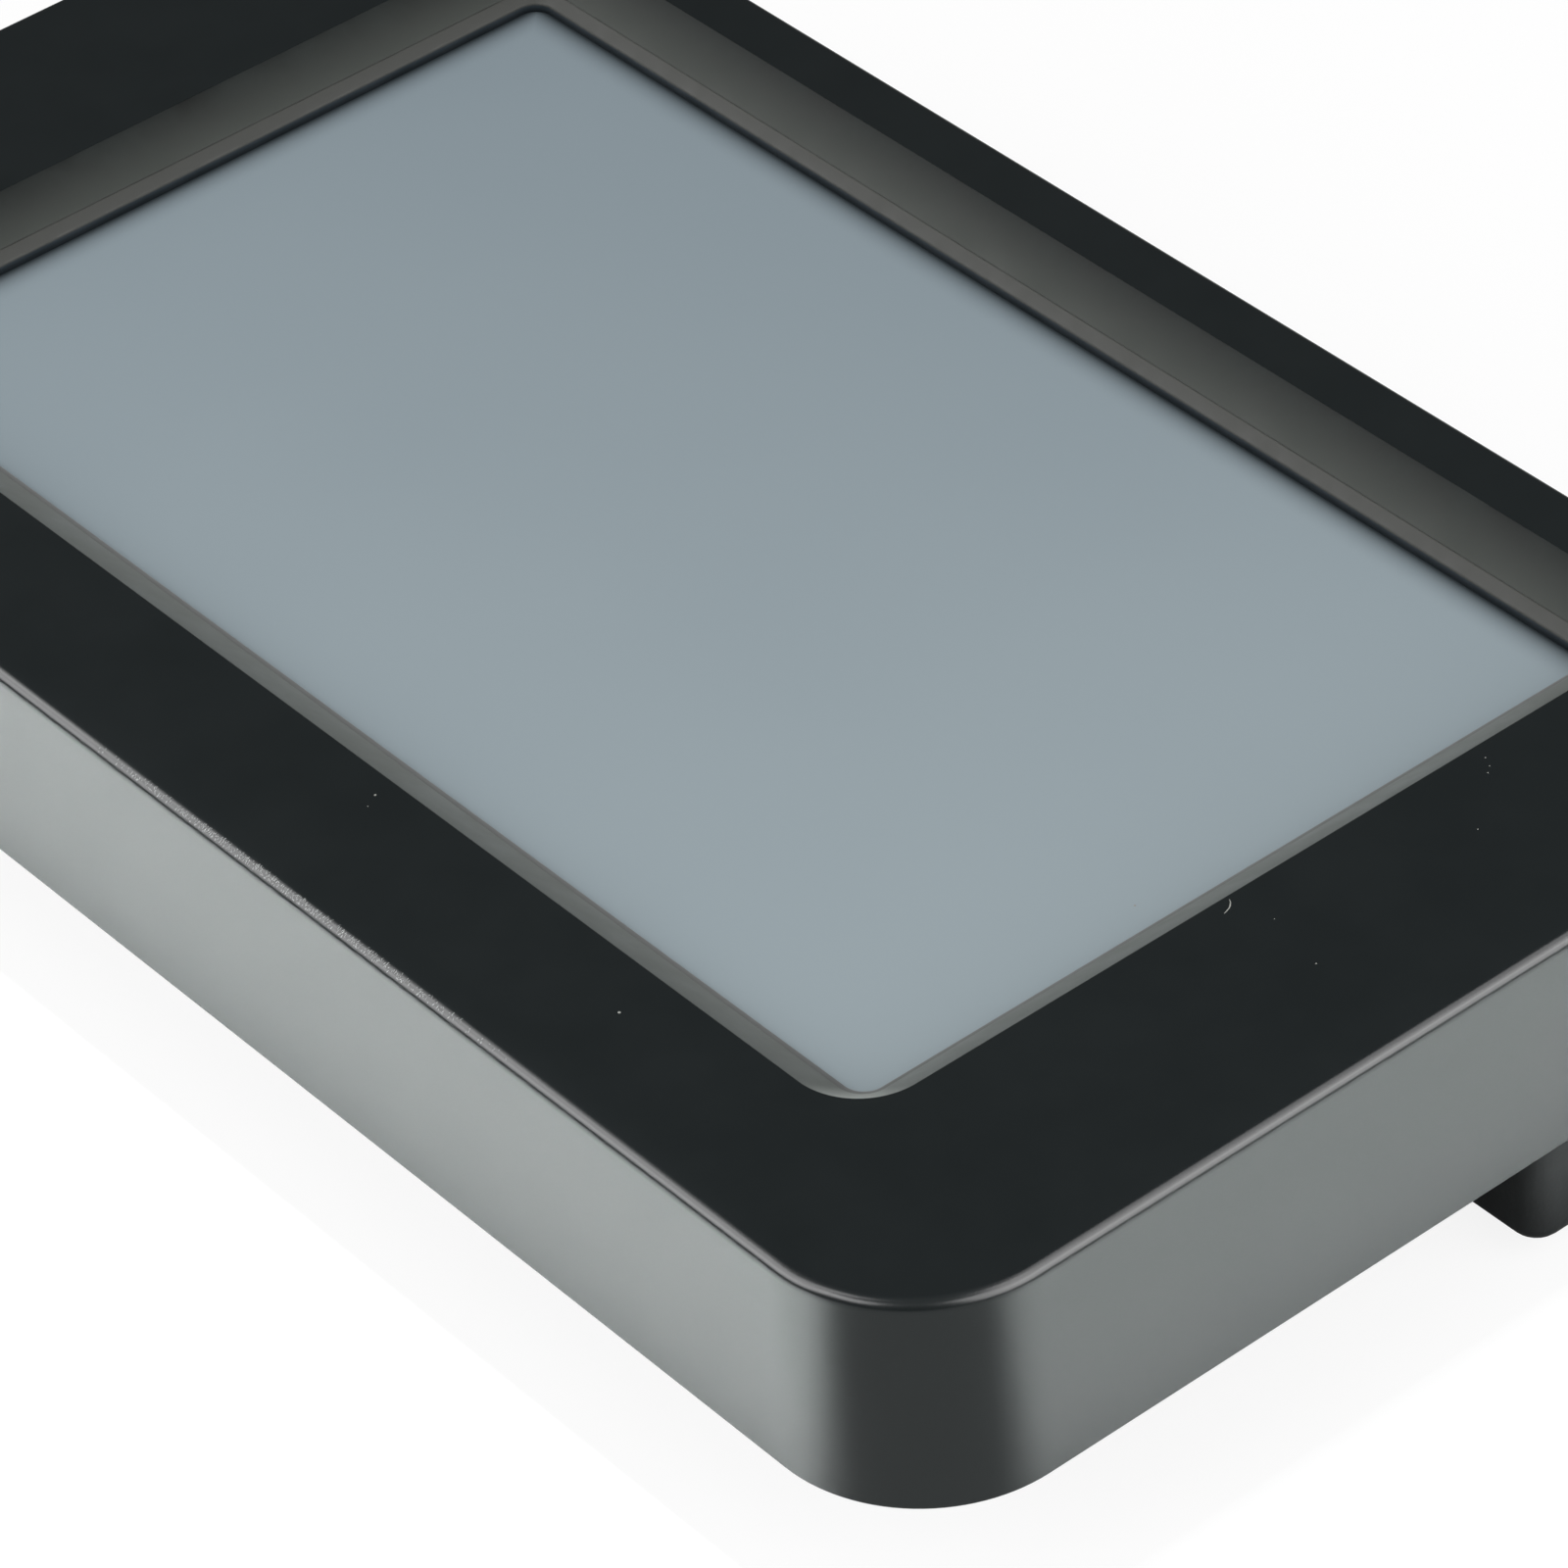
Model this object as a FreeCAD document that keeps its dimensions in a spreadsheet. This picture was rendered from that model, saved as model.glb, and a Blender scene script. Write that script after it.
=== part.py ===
import FreeCAD, Part
import math
import os
import re
import Sketcher

# A seven inch touch screen display module, lying on its back.
# Millimetres. X runs along the long sides, Y up the screen, Z out of the screen.
# The origin is on the surface that the rubber feet stand on, under the middle of the case.

V = FreeCAD.Vector

# Driving dimensions, one name and one number each
SIZES = {
    # front case
    "side_border": 25.1,
    "low_border": 16.85,
    "high_border": 6.85,
    "case_depth": 23.8,
    "case_corner": 16.1,
    "case_edge": 1.15,
    "case_wall": 2.4,
    "face_wall": 2.6,
    # window of the case
    "window_corner": 7.2,
    "chamfer_run": 4.3,
    "chamfer_drop": 3.3,
    "lip_land": 0.3,
    "lip_corner": 2.9,
    "lip_round": 0.25,
    # seal between the lip and the screen
    "view_length": 156.6,
    "view_width": 89.2,
    "view_corner": 2.3,
    "seal_run": 1.2,
    "seal_drop": 0.65,
    "seal_thick": 1.7,
    # touch panel
    "touch_side": 3.8,
    "touch_over": 5.0,
    "film_thick": 0.2,
    "spacer_thick": 0.15,
    "spacer_border": 3.0,
    "glass_thick": 1.1,
    "foam_thick": 0.5,
    "foam_border": 2.6,
    # display
    "display_over": 0.4,
    "display_depth": 5.1,
    "display_shift": 1.6,
    "display_fit": 0.4,
    "sheet_steel": 0.3,
    "frame_play_x": 1.4,
    "frame_play_y": 1.1,
    "cell_thick": 0.55,
    "cell_gap": 0.5,
    "cell_ledge": 4.2,
    "polariser_thick": 0.2,
    "polariser_border": 0.5,
    "optic_sheet": 0.2,
    "guide_thick": 2.5,
    "backlight_border": 3.2,
    "strip_thick": 0.8,
    "lamp_deep": 0.9,
    "lamp_wide": 3.0,
    "lamp_tall": 1.2,
    "lamp_count": 18,
    "lamp_end": 8.8,
    "chip_pitch": 44.0,
    "driver_long": 17.0,
    "driver_wide": 1.4,
    "driver_tall": 0.35,
    # frame wall inside the case that the display drops into
    "locate_wall": 1.4,
    "locate_depth": 10.0,
    # brackets that clamp the display
    "clamp_thick": 1.2,
    "clamp_grip": 4.0,
    "clamp_long": 12.0,
    "clamp_corner": 2.0,
    "clamp_boss": 7.0,
    "clamp_reach": 8.5,
    "clamp_inset": 19.0,
    # screws
    "screw_pilot": 2.5,
    "screw_clear": 3.4,
    "screw_head": 5.6,
    "screw_head_tall": 1.9,
    "screw_socket": 2.2,
    "screw_socket_deep": 0.85,
    "screw_dome": 0.75,
    "clamp_screw_long": 6.0,
    "cover_screw_long": 8.0,
    "board_screw_long": 5.0,
    "hole_spare": 1.5,
    "board_hole_spare": 0.5,
    # rear cover
    "cover_plate": 2.5,
    "cover_fit": 0.3,
    "cover_seat": 1.8,
    "boss_inset_x": 13.9,
    "boss_inset_y": 12.95,
    "cover_boss": 7.4,
    "box_depth": 16.0,
    "box_wall": 2.2,
    "box_edge": 2.0,
    "box_corner": 3.0,
    "shoulder_inset": 3.6,
    "shoulder_set": 4.55,
    "shoulder_wide": 41.6,
    "spine_side": 21.5,
    "spine_set": 11.95,
    "spine_overlap": 12.0,
    "pillar_wall": 1.6,
    "head_play": 0.3,
    # air slots of the rear cover
    "slot_wide": 2.2,
    "slot_long": 30.0,
    "slot_pitch": 5.6,
    "slot_count": 9,
    "slot_set": 26.0,
    "slot_corner": 1.0,
    # threaded inserts for a bracket
    "mount_pitch": 75.0,
    "mount_drop": 1.7,
    "insert_outer": 5.6,
    "insert_bore": 4.0,
    "insert_long": 5.5,
    "insert_boss": 9.0,
    "insert_cover": 1.0,
    # rubber feet
    "foot_height": 1.5,
    "foot_sunk": 0.5,
    "foot_width": 10.0,
    "foot_fit": 0.1,
    "foot_round": 0.6,
    "foot_inset": 9.0,
    "foot_shoulder_x": 21.3,
    "foot_shoulder_y": 14.4,
    # main board
    "board_end_gap": 1.8,
    "board_thick": 1.6,
    "board_corner": 2.0,
    "board_gap": 1.5,
    "standoff_tall": 5.0,
    "standoff_wide": 6.0,
    "standoff_inset": 29.5,
    "standoff_edge": 4.5,
    # what the board carries
    "processor_side": 14.0,
    "processor_tall": 1.2,
    "memory_wide": 8.0,
    "memory_long": 12.5,
    "memory_tall": 1.1,
    "flash_wide": 6.0,
    "flash_long": 5.0,
    "flash_tall": 0.9,
    "touch_chip_side": 4.0,
    "touch_chip_tall": 0.9,
    "regulator_side": 5.0,
    "regulator_tall": 1.5,
    "coil_side": 10.0,
    "coil_tall": 4.5,
    "coil_round": 1.6,
    "capacitor_wide": 6.3,
    "capacitor_tall": 6.0,
    "capacitor_base": 6.6,
    "capacitor_base_tall": 1.0,
    "capacitor_corner": 1.1,
    "capacitor_pitch": 8.0,
    "crystal_long": 11.0,
    "crystal_wide": 4.6,
    "crystal_tall": 3.5,
    "crystal_corner": 2.2,
    "small_long": 1.6,
    "small_wide": 0.8,
    "small_tall": 0.6,
    "small_pitch": 2.6,
    "small_count": 6,
    "part_gap": 2.5,
    "holder_wide": 25.0,
    "holder_long": 22.6,
    "holder_tall": 4.0,
    "holder_floor": 0.8,
    "coin_wide": 20.0,
    "coin_tall": 3.2,
    "coin_play": 0.3,
    "sounder_wide": 9.0,
    "sounder_tall": 4.5,
    "sounder_hole": 2.0,
    # sockets and header
    "display_socket_long": 34.0,
    "display_socket_deep": 5.0,
    "touch_socket_long": 11.0,
    "touch_socket_deep": 4.5,
    "socket_tall": 2.2,
    "mouth_tall": 0.8,
    "mouth_deep": 3.2,
    "mouth_end": 1.6,
    "header_long": 21.6,
    "header_deep": 10.5,
    "header_tall": 8.4,
    "header_ways": 6,
    "header_pitch": 3.5,
    "header_way": 2.8,
    "header_floor": 1.6,
    "header_inset": 12.5,
    "pin_side": 1.0,
    "pin_long": 7.0,
    "bus_wide": 9.0,
    "bus_deep": 9.2,
    "bus_tall": 4.2,
    "bus_shell": 0.5,
    "bus_tongue": 1.2,
    "bus_spacing": 13.0,
    "card_wide": 14.6,
    "card_deep": 15.0,
    "card_tall": 2.0,
    "card_slot": 0.9,
    "card_mouth": 11.4,
    "card_inset": 7.5,
    "port_set_back": 0.4,
    "port_play": 0.4,
    # ribbon tails
    "tail_thick": 0.25,
    "display_tail_wide": 30.0,
    "touch_tail_wide": 6.0,
    "touch_tail_aside": 10.0,
    "tail_bulge": 1.3,
    "tail_air": 0.5,
}

# Levels and places worked out from the sizes, and from each other
WORKED_OUT = {
    # outlines of the front, from the screen out to the case
    "lip_length": "view_length + 2 * seal_run",
    "lip_width": "view_width + 2 * seal_run",
    "window_length": "lip_length + 2 * chamfer_run",
    "window_width": "lip_width + 2 * chamfer_run",
    "window_y": "(low_border - high_border) / 2",
    "case_length": "window_length + 2 * side_border",
    "case_width": "window_width + low_border + high_border",
    "touch_length": "view_length + 2 * touch_side",
    "touch_width": "view_width + 2 * touch_over",
    "display_length": "touch_length + 2 * display_over",
    "display_width": "touch_width + 2 * display_over",
    "display_y": "window_y - display_shift",
    "pocket_length": "display_length + 2 * display_fit",
    "pocket_width": "display_width + 2 * display_fit",
    "cell_length": "display_length - 2 * sheet_steel - 2 * cell_gap",
    "cell_width": "display_width - 2 * sheet_steel - 2 * cell_gap",
    "light_length": "cell_length - 2 * backlight_border",
    "light_width": "cell_width - 2 * backlight_border",
    "sheet_play": "2 * display_fit",
    "lamp_pitch": "(light_length - 2 * lamp_end) / (lamp_count - 1)",
    "clamp_x": "pocket_length / 2 + clamp_reach",
    "clamp_pitch": "display_width - 2 * clamp_inset",
    # heights of the case's rim and face, and how far each layer's top lies under the face
    "rim": "foot_height + box_depth",
    "top": "rim + case_depth",
    "lip_down": "chamfer_drop + lip_land",
    "film_down": "lip_down + seal_thick",
    "spacer_down": "film_down + film_thick",
    "glass_down": "spacer_down + spacer_thick",
    "foam_down": "glass_down + glass_thick",
    "display_down": "foam_down + foam_thick",
    "cell_down": "display_down + sheet_steel",
    "lower_down": "cell_down + 2 * cell_thick",
    "prism_down": "lower_down + polariser_thick",
    "diffuser_down": "prism_down + optic_sheet",
    "guide_down": "diffuser_down + optic_sheet",
    "reflector_down": "guide_down + guide_thick",
    "tray_down": "reflector_down + optic_sheet",
    "clamp_down": "display_down + display_depth",
    # rear cover and its box
    "cover_length": "case_length - 2 * case_wall - 2 * cover_fit",
    "cover_width": "case_width - 2 * case_wall - 2 * cover_fit",
    "cover_height": "box_depth + cover_plate",
    "cover_pitch_x": "case_length - 2 * boss_inset_x",
    "cover_pitch_y": "case_width / 2 - boss_inset_y",
    "pillar": "screw_head + 2 * head_play + 2 * pillar_wall",
    "shoulder_length": "case_length - 2 * shoulder_inset",
    "shoulder_high": "case_width / 2 - shoulder_set",
    "shoulder_low": "shoulder_high - shoulder_wide",
    "shoulder_y": "(shoulder_high + shoulder_low) / 2",
    "spine_width": "mount_pitch + 2 * spine_side",
    "spine_low": "case_width / 2 - spine_set",
    "spine_length": "spine_low + shoulder_low + spine_overlap",
    "spine_y": "(shoulder_low + spine_overlap - spine_low) / 2",
    "mount_y": "(shoulder_high - spine_low) / 2 - mount_drop",
    "slot_y": "slot_set - spine_low",
    "foot_high_x": "shoulder_length / 2 - foot_shoulder_x",
    "foot_high_y": "shoulder_high - foot_shoulder_y",
    "foot_low_x": "spine_width / 2 - foot_inset",
    "foot_low_y": "foot_inset - spine_low",
    # main board and what stands on it
    "board_length": "cover_pitch_x - pillar - 2 * board_end_gap",
    "board_width": "shoulder_wide - 2 * box_wall - 2 * board_gap",
    "board_low": "shoulder_low + box_wall + board_gap",
    "board_high": "board_low + board_width",
    "board_y": "(board_low + board_high) / 2",
    "board_z": "foot_height + box_wall + standoff_tall",
    "board_top": "board_z + board_thick",
    "standoff_pitch_x": "board_length - 2 * standoff_inset",
    "standoff_pitch_y": "board_width - 2 * standoff_edge",
    "port_y": "shoulder_low + port_set_back",
    "header_x": "board_length / 2 - header_inset",
    "card_x": "card_inset - board_length / 2",
    "bus_x": "card_x + bus_spacing",
    "memory_x": "processor_side + 3 * part_gap + memory_wide / 2",
    "crystal_x": "crystal_wide / 2 - crystal_long",
    "coin_x": "crystal_x - crystal_long / 2 - part_gap - holder_wide / 2",
    "coin_y": "board_y + display_socket_deep / 2",
    "display_socket_y": "board_low + display_socket_deep / 2 + 2 * board_gap",
    "touch_tail_x": "0 - standoff_pitch_x / 2 - touch_tail_aside",
    "touch_socket_y": "board_high - touch_socket_deep / 2 - board_gap",
    "socket_mouth": "board_top + socket_tall / 2",
}

doc = FreeCAD.newDocument("touch_screen_display")
sheet = doc.addObject("Spreadsheet::Sheet", "Sizes")
for line, (alias, number) in enumerate(SIZES.items(), start=1):
    sheet.set(f"A{line}", alias.replace("_", " "))
    sheet.set(f"B{line}", str(number))
    sheet.setAlias(f"B{line}", alias)
doc.recompute()

nodes = []


def bound(text):
    """The expression with its worked out names written out and each size pointed at its cell."""
    def written_out(word):
        if word[0] in WORKED_OUT:
            return f"({bound(WORKED_OUT[word[0]])})"
        return f"Sizes.{word[0]}" if word[0] in SIZES else word[0]
    return re.sub(r"[a-z][a-z_]*", written_out, text)


def value(text):
    """The number that an expression gives now."""
    return float(sheet.evalExpression(bound(text)))


def bind(thing, prop, text):
    """Tie a property to an expression of the sheet's sizes."""
    thing.setExpression(prop, bound(text))


# Bodies and sketches

def new_body(name, z, y="0", x="0"):
    """An empty body whose own origin lies at x, y, z of the module."""
    body = doc.addObject("PartDesign::Body", name)
    body.Label = name
    bind(body, "Placement.Base.x", x)
    bind(body, "Placement.Base.y", y)
    bind(body, "Placement.Base.z", z)
    nodes.append(body)
    return body


def origin_part(body, role):
    """The origin plane or axis of a body that has this role."""
    return next(part for part in body.Origin.OriginFeatures if part.Role == role)


def new_sketch(body, role="XY_Plane", x="0", y="0", z="0"):
    """A sketch on an origin plane, moved by x and y in it and lifted off it by z."""
    sketch = body.newObject("Sketcher::SketchObject", f"{body.Name}_sketch")
    sketch.AttachmentSupport = [(origin_part(body, role), "")]
    sketch.MapMode = "FlatFace"
    bind(sketch, "AttachmentOffset.Base.x", x)
    bind(sketch, "AttachmentOffset.Base.y", y)
    bind(sketch, "AttachmentOffset.Base.z", z)
    return sketch


def dimension(sketch, kind, targets, text, name):
    """A named driving constraint tied to an expression."""
    index = sketch.addConstraint(Sketcher.Constraint(kind, *targets, value(text)))
    sketch.renameConstraint(index, name)
    bind(sketch, f"Constraints.{name}", text)


def round_corners(sketch, first, centres, radii):
    """Quarter circles between four sides that start at geometry first, tangent to both."""
    for turn, (centre, radius) in enumerate(zip(centres, radii)):
        circle = Part.Circle(centre, V(0, 0, 1), value(radius))
        start = (turn - 1) * math.pi / 2
        sketch.addGeometry(Part.ArcOfCircle(circle, start, start + math.pi / 2))
    for turn, radius in enumerate(radii):
        side_before, arc, side_after = first + (turn - 1) % 4, first + 4 + turn, first + turn
        sketch.addConstraint(Sketcher.Constraint("Tangent", side_before, 2, arc, 1))
        sketch.addConstraint(Sketcher.Constraint("Tangent", arc, 2, side_after, 1))
        if turn < 2:
            dimension(sketch, "Radius", (arc,), radius, f"r{first}_corner_{turn}")
            sketch.addConstraint(Sketcher.Constraint("Equal", arc, first + 7 - turn))


def add_rectangle(sketch, length, width, radius=None, x="0", y="0", high_radius=None):
    """A rectangle about x, y of the sketch, with round corners if a radius is given.

    The two corners up the sketch may have a radius of their own.
    """
    first = sketch.GeometryCount
    half_x, half_y = value(length) / 2, value(width) / 2
    middle = V(value(x), value(y), 0)
    radii = [radius or "0", high_radius or radius or "0"]
    radii += radii[::-1]
    outward = (V(1, 0, 0), V(0, 1, 0), V(-1, 0, 0), V(0, -1, 0))
    centres = []
    for (side_x, side_y), corner in zip(((1, -1), (1, 1), (-1, 1), (-1, -1)), radii):
        inset = value(corner)
        centres.append(middle + V(side_x * (half_x - inset), side_y * (half_y - inset), 0))
    for turn, out in enumerate(outward):
        after = (turn + 1) % 4
        start = centres[turn] + out * value(radii[turn])
        sketch.addGeometry(Part.LineSegment(start, centres[after] + out * value(radii[after])))
    if radius:
        round_corners(sketch, first, centres, radii)
    else:
        for turn in range(4):
            joint = Sketcher.Constraint("Coincident", first + turn, 2, first + (turn + 1) % 4, 1)
            sketch.addConstraint(joint)
    tag = f"r{first}"
    for turn in (0, 2):
        sketch.addConstraint(Sketcher.Constraint("Vertical", first + turn))
        sketch.addConstraint(Sketcher.Constraint("Horizontal", first + turn + 1))
    dimension(sketch, "DistanceX", (-1, 1, first, 1), f"{x} + ({length}) / 2", f"{tag}_right")
    dimension(sketch, "DistanceX", (-1, 1, first + 2, 1), f"{x} - ({length}) / 2", f"{tag}_left")
    dimension(sketch, "DistanceY", (-1, 1, first + 1, 1), f"{y} + ({width}) / 2", f"{tag}_high")
    dimension(sketch, "DistanceY", (-1, 1, first + 3, 1), f"{y} - ({width}) / 2", f"{tag}_low")


def add_circle(sketch, diameter, x="0", y="0"):
    """A circle about x, y of the sketch."""
    index = sketch.addGeometry(Part.Circle(V(value(x), value(y), 0), V(0, 0, 1), value(diameter) / 2))
    dimension(sketch, "Diameter", (index,), diameter, f"c{index}_wide")
    dimension(sketch, "DistanceX", (-1, 1, index, 3), x, f"c{index}_x")
    dimension(sketch, "DistanceY", (-1, 1, index, 3), y, f"c{index}_y")


def add_polyline(sketch, points, closed=True):
    """Straight sides through points given as pairs of expressions."""
    first = sketch.GeometryCount
    spots = [V(value(x), value(y), 0) for x, y in points]
    count = len(points) if closed else len(points) - 1
    for index in range(count):
        sketch.addGeometry(Part.LineSegment(spots[index], spots[(index + 1) % len(points)]))
    for index in range(count if closed else count - 1):
        after = first + (index + 1) % count
        sketch.addConstraint(Sketcher.Constraint("Coincident", first + index, 2, after, 1))
    for index, (x, y) in enumerate(points):
        line, end = (first + index, 1) if index < count else (first + index - 1, 2)
        dimension(sketch, "DistanceX", (-1, 1, line, end), x, f"p{first + index}_x")
        dimension(sketch, "DistanceY", (-1, 1, line, end), y, f"p{first + index}_y")


# Features

def changed(body, feature, grows):
    """Make a feature the body's tip and see that it added or removed material."""
    before = body.Tip.Shape.Volume if body.Tip and not body.Tip.Shape.isNull() else 0.0
    body.Tip = feature
    doc.recompute()
    after = feature.Shape.Volume
    if (after <= before) if grows else (after >= before):
        raise RuntimeError(f"{feature.Name} of {body.Name} left {before} at {after}")
    return feature


def pad(body, sketch, height, down=False):
    """Material from the sketch up along its normal, or down."""
    before = body.Tip
    feature = body.newObject("PartDesign::Pad", f"{body.Name}_pad")
    body.Tip = before
    feature.Profile = sketch
    bind(feature, "Length", height)
    feature.Reversed = down
    return changed(body, feature, True)


def pocket(body, sketch, depth, up=True):
    """A cut from the sketch up along its normal, or down."""
    before = body.Tip
    feature = body.newObject("PartDesign::Pocket", f"{body.Name}_pocket")
    body.Tip = before
    feature.Profile = sketch
    bind(feature, "Length", depth)
    feature.Reversed = up
    return changed(body, feature, False)


def turned(body, sketch, cut=False):
    """A profile turned right round the body's own Z axis."""
    before = body.Tip
    kind = "PartDesign::Groove" if cut else "PartDesign::Revolution"
    feature = body.newObject(kind, f"{body.Name}_turned")
    body.Tip = before
    feature.Profile = sketch
    feature.ReferenceAxis = (origin_part(body, "Z_Axis"), [""])
    feature.Angle = 360
    return changed(body, feature, not cut)


def copies(body, original, axis, length, count, grows=True, second=None):
    """Copies of a feature in a row along an axis, and in rows along a second one if given."""
    before = body.Tip
    feature = body.newObject("PartDesign::LinearPattern", f"{body.Name}_copies")
    body.Tip = before
    feature.Originals = [original]
    feature.Direction = (origin_part(body, axis), [""])
    bind(feature, "Length", length)
    bind(feature, "Occurrences", count)
    if second:
        feature.Direction2 = (origin_part(body, second[0]), [""])
        bind(feature, "Length2", second[1])
        bind(feature, "Occurrences2", second[2])
    return changed(body, feature, grows)


def row(body, original, length, count, grows=True):
    """Copies along X."""
    return copies(body, original, "X_Axis", length, count, grows)


def grid(body, original, x_length, x_count, y_length, y_count, grows=True):
    """Copies along X in rows along Y."""
    return copies(body, original, "X_Axis", x_length, x_count, grows, ("Y_Axis", y_length, y_count))


def funnel(body, z_low, low, z_high, high, y="0"):
    """A cut that widens from one rounded rectangle to another above it."""
    before = body.Tip
    sections = []
    for level, (length, width, radius) in ((z_low, low), (z_high, high)):
        section = new_sketch(body, z=level, y=y)
        add_rectangle(section, length, width, radius)
        sections.append(section)
    doc.recompute()
    feature = body.newObject("PartDesign::SubtractiveLoft", f"{body.Name}_funnel")
    body.Tip = before
    feature.Profile = sections[0]
    feature.Sections = [sections[1]]
    feature.Ruled = True
    return changed(body, feature, False)


def edges_at(shape, height, keep=lambda edge: True):
    """Names of the edges that lie wholly at one height and pass a test."""
    names = []
    for index, edge in enumerate(shape.Edges, start=1):
        box = edge.BoundBox
        if abs(box.ZMin - height) < 1e-4 and abs(box.ZMax - height) < 1e-4 and keep(edge):
            names.append(f"Edge{index}")
    return names


def rounded(body, height, radius, keep=lambda edge: True):
    """Round the edges of the body's tip that lie at one height of the body."""
    base = body.Tip
    names = edges_at(base.Shape, value(height), keep)
    feature = body.newObject("PartDesign::Fillet", f"{body.Name}_round")
    feature.Base = (base, names)
    bind(feature, "Radius", radius)
    body.Tip = feature
    doc.recompute()
    return feature


def block(name, length, width, height, z, y="0", x="0", radius=None):
    """A plain plate or block standing on z."""
    body = new_body(name, z, y, x)
    sketch = new_sketch(body)
    add_rectangle(sketch, length, width, radius)
    pad(body, sketch, height)
    return body


def ring(name, outer, inner, height, z, y="0", hole_y="0"):
    """A flat frame: an outer rectangle with a window, each a length, a width and a corner."""
    body = new_body(name, z, y)
    sketch = new_sketch(body)
    add_rectangle(sketch, *outer)
    add_rectangle(sketch, *inner, y=hole_y)
    pad(body, sketch, height)
    return body


def screws(name, long, z, x_pitch, x_count, y_pitch, y_count, y="0", heads_up=False):
    """Pan head screws in a grid, with their heads' seats at z, below their shanks or above them."""
    way = "" if heads_up else "-"
    shank = "-" if heads_up else ""
    body = new_body(name, z, f"{y} - ({y_pitch}) / 2", f"0 - ({x_pitch}) / 2")
    profile = new_sketch(body, "XZ_Plane")
    add_polyline(profile, [
        ("0", f"{way}(screw_head_tall - screw_socket_deep)"),
        ("screw_socket / 2", f"{way}(screw_head_tall - screw_socket_deep)"),
        ("screw_socket / 2", f"{way}screw_head_tall"),
        ("screw_head / 2 - screw_dome", f"{way}screw_head_tall"),
        ("screw_head / 2", f"{way}(screw_head_tall - screw_dome)"),
        ("screw_head / 2", "0"),
        ("screw_pilot / 2", "0"),
        ("screw_pilot / 2", f"{shank}({long} - screw_pilot / 2)"),
        ("0", f"{shank}{long}"),
    ])
    solid = turned(body, profile)
    grid(body, solid, x_pitch, x_count, y_pitch, y_count)
    return body


# Front case

def make_front_case():
    """The moulding seen in front: a deep tray, face up, with a chamfered window."""
    body = new_body("front_case", "rim")
    inside = "(case_depth - face_wall)"

    outside = new_sketch(body)
    add_rectangle(outside, "case_length", "case_width", "case_corner")
    pad(body, outside, "case_depth")
    rounded(body, "case_depth", "case_edge")

    hollow = new_sketch(body)
    add_rectangle(hollow, "case_length - 2 * case_wall", "case_width - 2 * case_wall",
                  "case_corner - case_wall")
    pocket(body, hollow, inside)

    # a step under the window that backs the chamfer and carries the seal
    wall_length = "(pocket_length + 2 * locate_wall)"
    wall_width = "(pocket_width + 2 * locate_wall)"
    step = new_sketch(body, y="display_y", z=inside)
    add_rectangle(step, wall_length, wall_width)
    pad(body, step, "lip_down - face_wall", down=True)

    # the wall that the display drops into
    fence = new_sketch(body, y="display_y", z=inside)
    add_rectangle(fence, wall_length, wall_width)
    add_rectangle(fence, "pocket_length", "pocket_width")
    pad(body, fence, "locate_depth - face_wall", down=True)

    # window: a short land at the foot and the chamfer above it
    window = new_sketch(body, y="window_y", z="case_depth")
    add_rectangle(window, "lip_length", "lip_width", "lip_corner")
    pocket(body, window, "lip_down", up=False)
    funnel(body, "case_depth - chamfer_drop", ("lip_length", "lip_width", "lip_corner"),
           "case_depth", ("window_length", "window_width", "window_corner"), y="window_y")
    rounded(body, "case_depth - chamfer_drop", "lip_round")

    # bosses for the cover's screws, joined to the side walls by ribs
    boss_x = "0 - cover_pitch_x / 2"
    boss_tall = f"{inside} - cover_plate"
    boss = new_sketch(body, x=boss_x, y="0 - cover_pitch_y", z=inside)
    add_circle(boss, "cover_boss")
    grid(body, pad(body, boss, boss_tall, down=True), "cover_pitch_x", "2", "2 * cover_pitch_y", "3")
    rib_length = "((case_length - cover_pitch_x) / 2 - case_wall)"
    for side in ("-", ""):
        middle = f"{side}(cover_pitch_x / 2 + {rib_length} / 2)"
        rib = new_sketch(body, x=middle, y="0 - cover_pitch_y", z=inside)
        add_rectangle(rib, rib_length, "locate_wall")
        copies(body, pad(body, rib, boss_tall, down=True), "Y_Axis", "2 * cover_pitch_y", "3")
    pilot = new_sketch(body, x=boss_x, y="0 - cover_pitch_y", z="cover_plate")
    add_circle(pilot, "screw_pilot")
    hole = pocket(body, pilot, "cover_screw_long + hole_spare")
    grid(body, hole, "cover_pitch_x", "2", "2 * cover_pitch_y", "3", grows=False)

    # bosses for the brackets that clamp the display
    clamp_low = "display_y - clamp_pitch / 2"
    post = new_sketch(body, x="0 - clamp_x", y=clamp_low, z=inside)
    add_circle(post, "clamp_boss")
    posts = pad(body, post, "clamp_down - face_wall", down=True)
    grid(body, posts, "2 * clamp_x", "2", "clamp_pitch", "2")
    bore = new_sketch(body, x="0 - clamp_x", y=clamp_low, z="case_depth - clamp_down")
    add_circle(bore, "screw_pilot")
    hole = pocket(body, bore, "clamp_screw_long + hole_spare - clamp_thick")
    grid(body, hole, "2 * clamp_x", "2", "clamp_pitch", "2", grows=False)

    # gaps in the wall where the ribbon tails leave the display
    for wide, place in (("display_tail_wide", "display_y - pocket_width / 2 - locate_wall / 2"),
                        ("touch_tail_wide", "display_y + pocket_width / 2 + locate_wall / 2")):
        gap = new_sketch(body, y=place, z="case_depth - lip_down",
                         x="0" if wide == "display_tail_wide" else "touch_tail_x")
        add_rectangle(gap, f"{wide} + 4 * tail_air", "locate_wall")
        pocket(body, gap, "case_depth", up=False)


# Seal and touch panel


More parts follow.
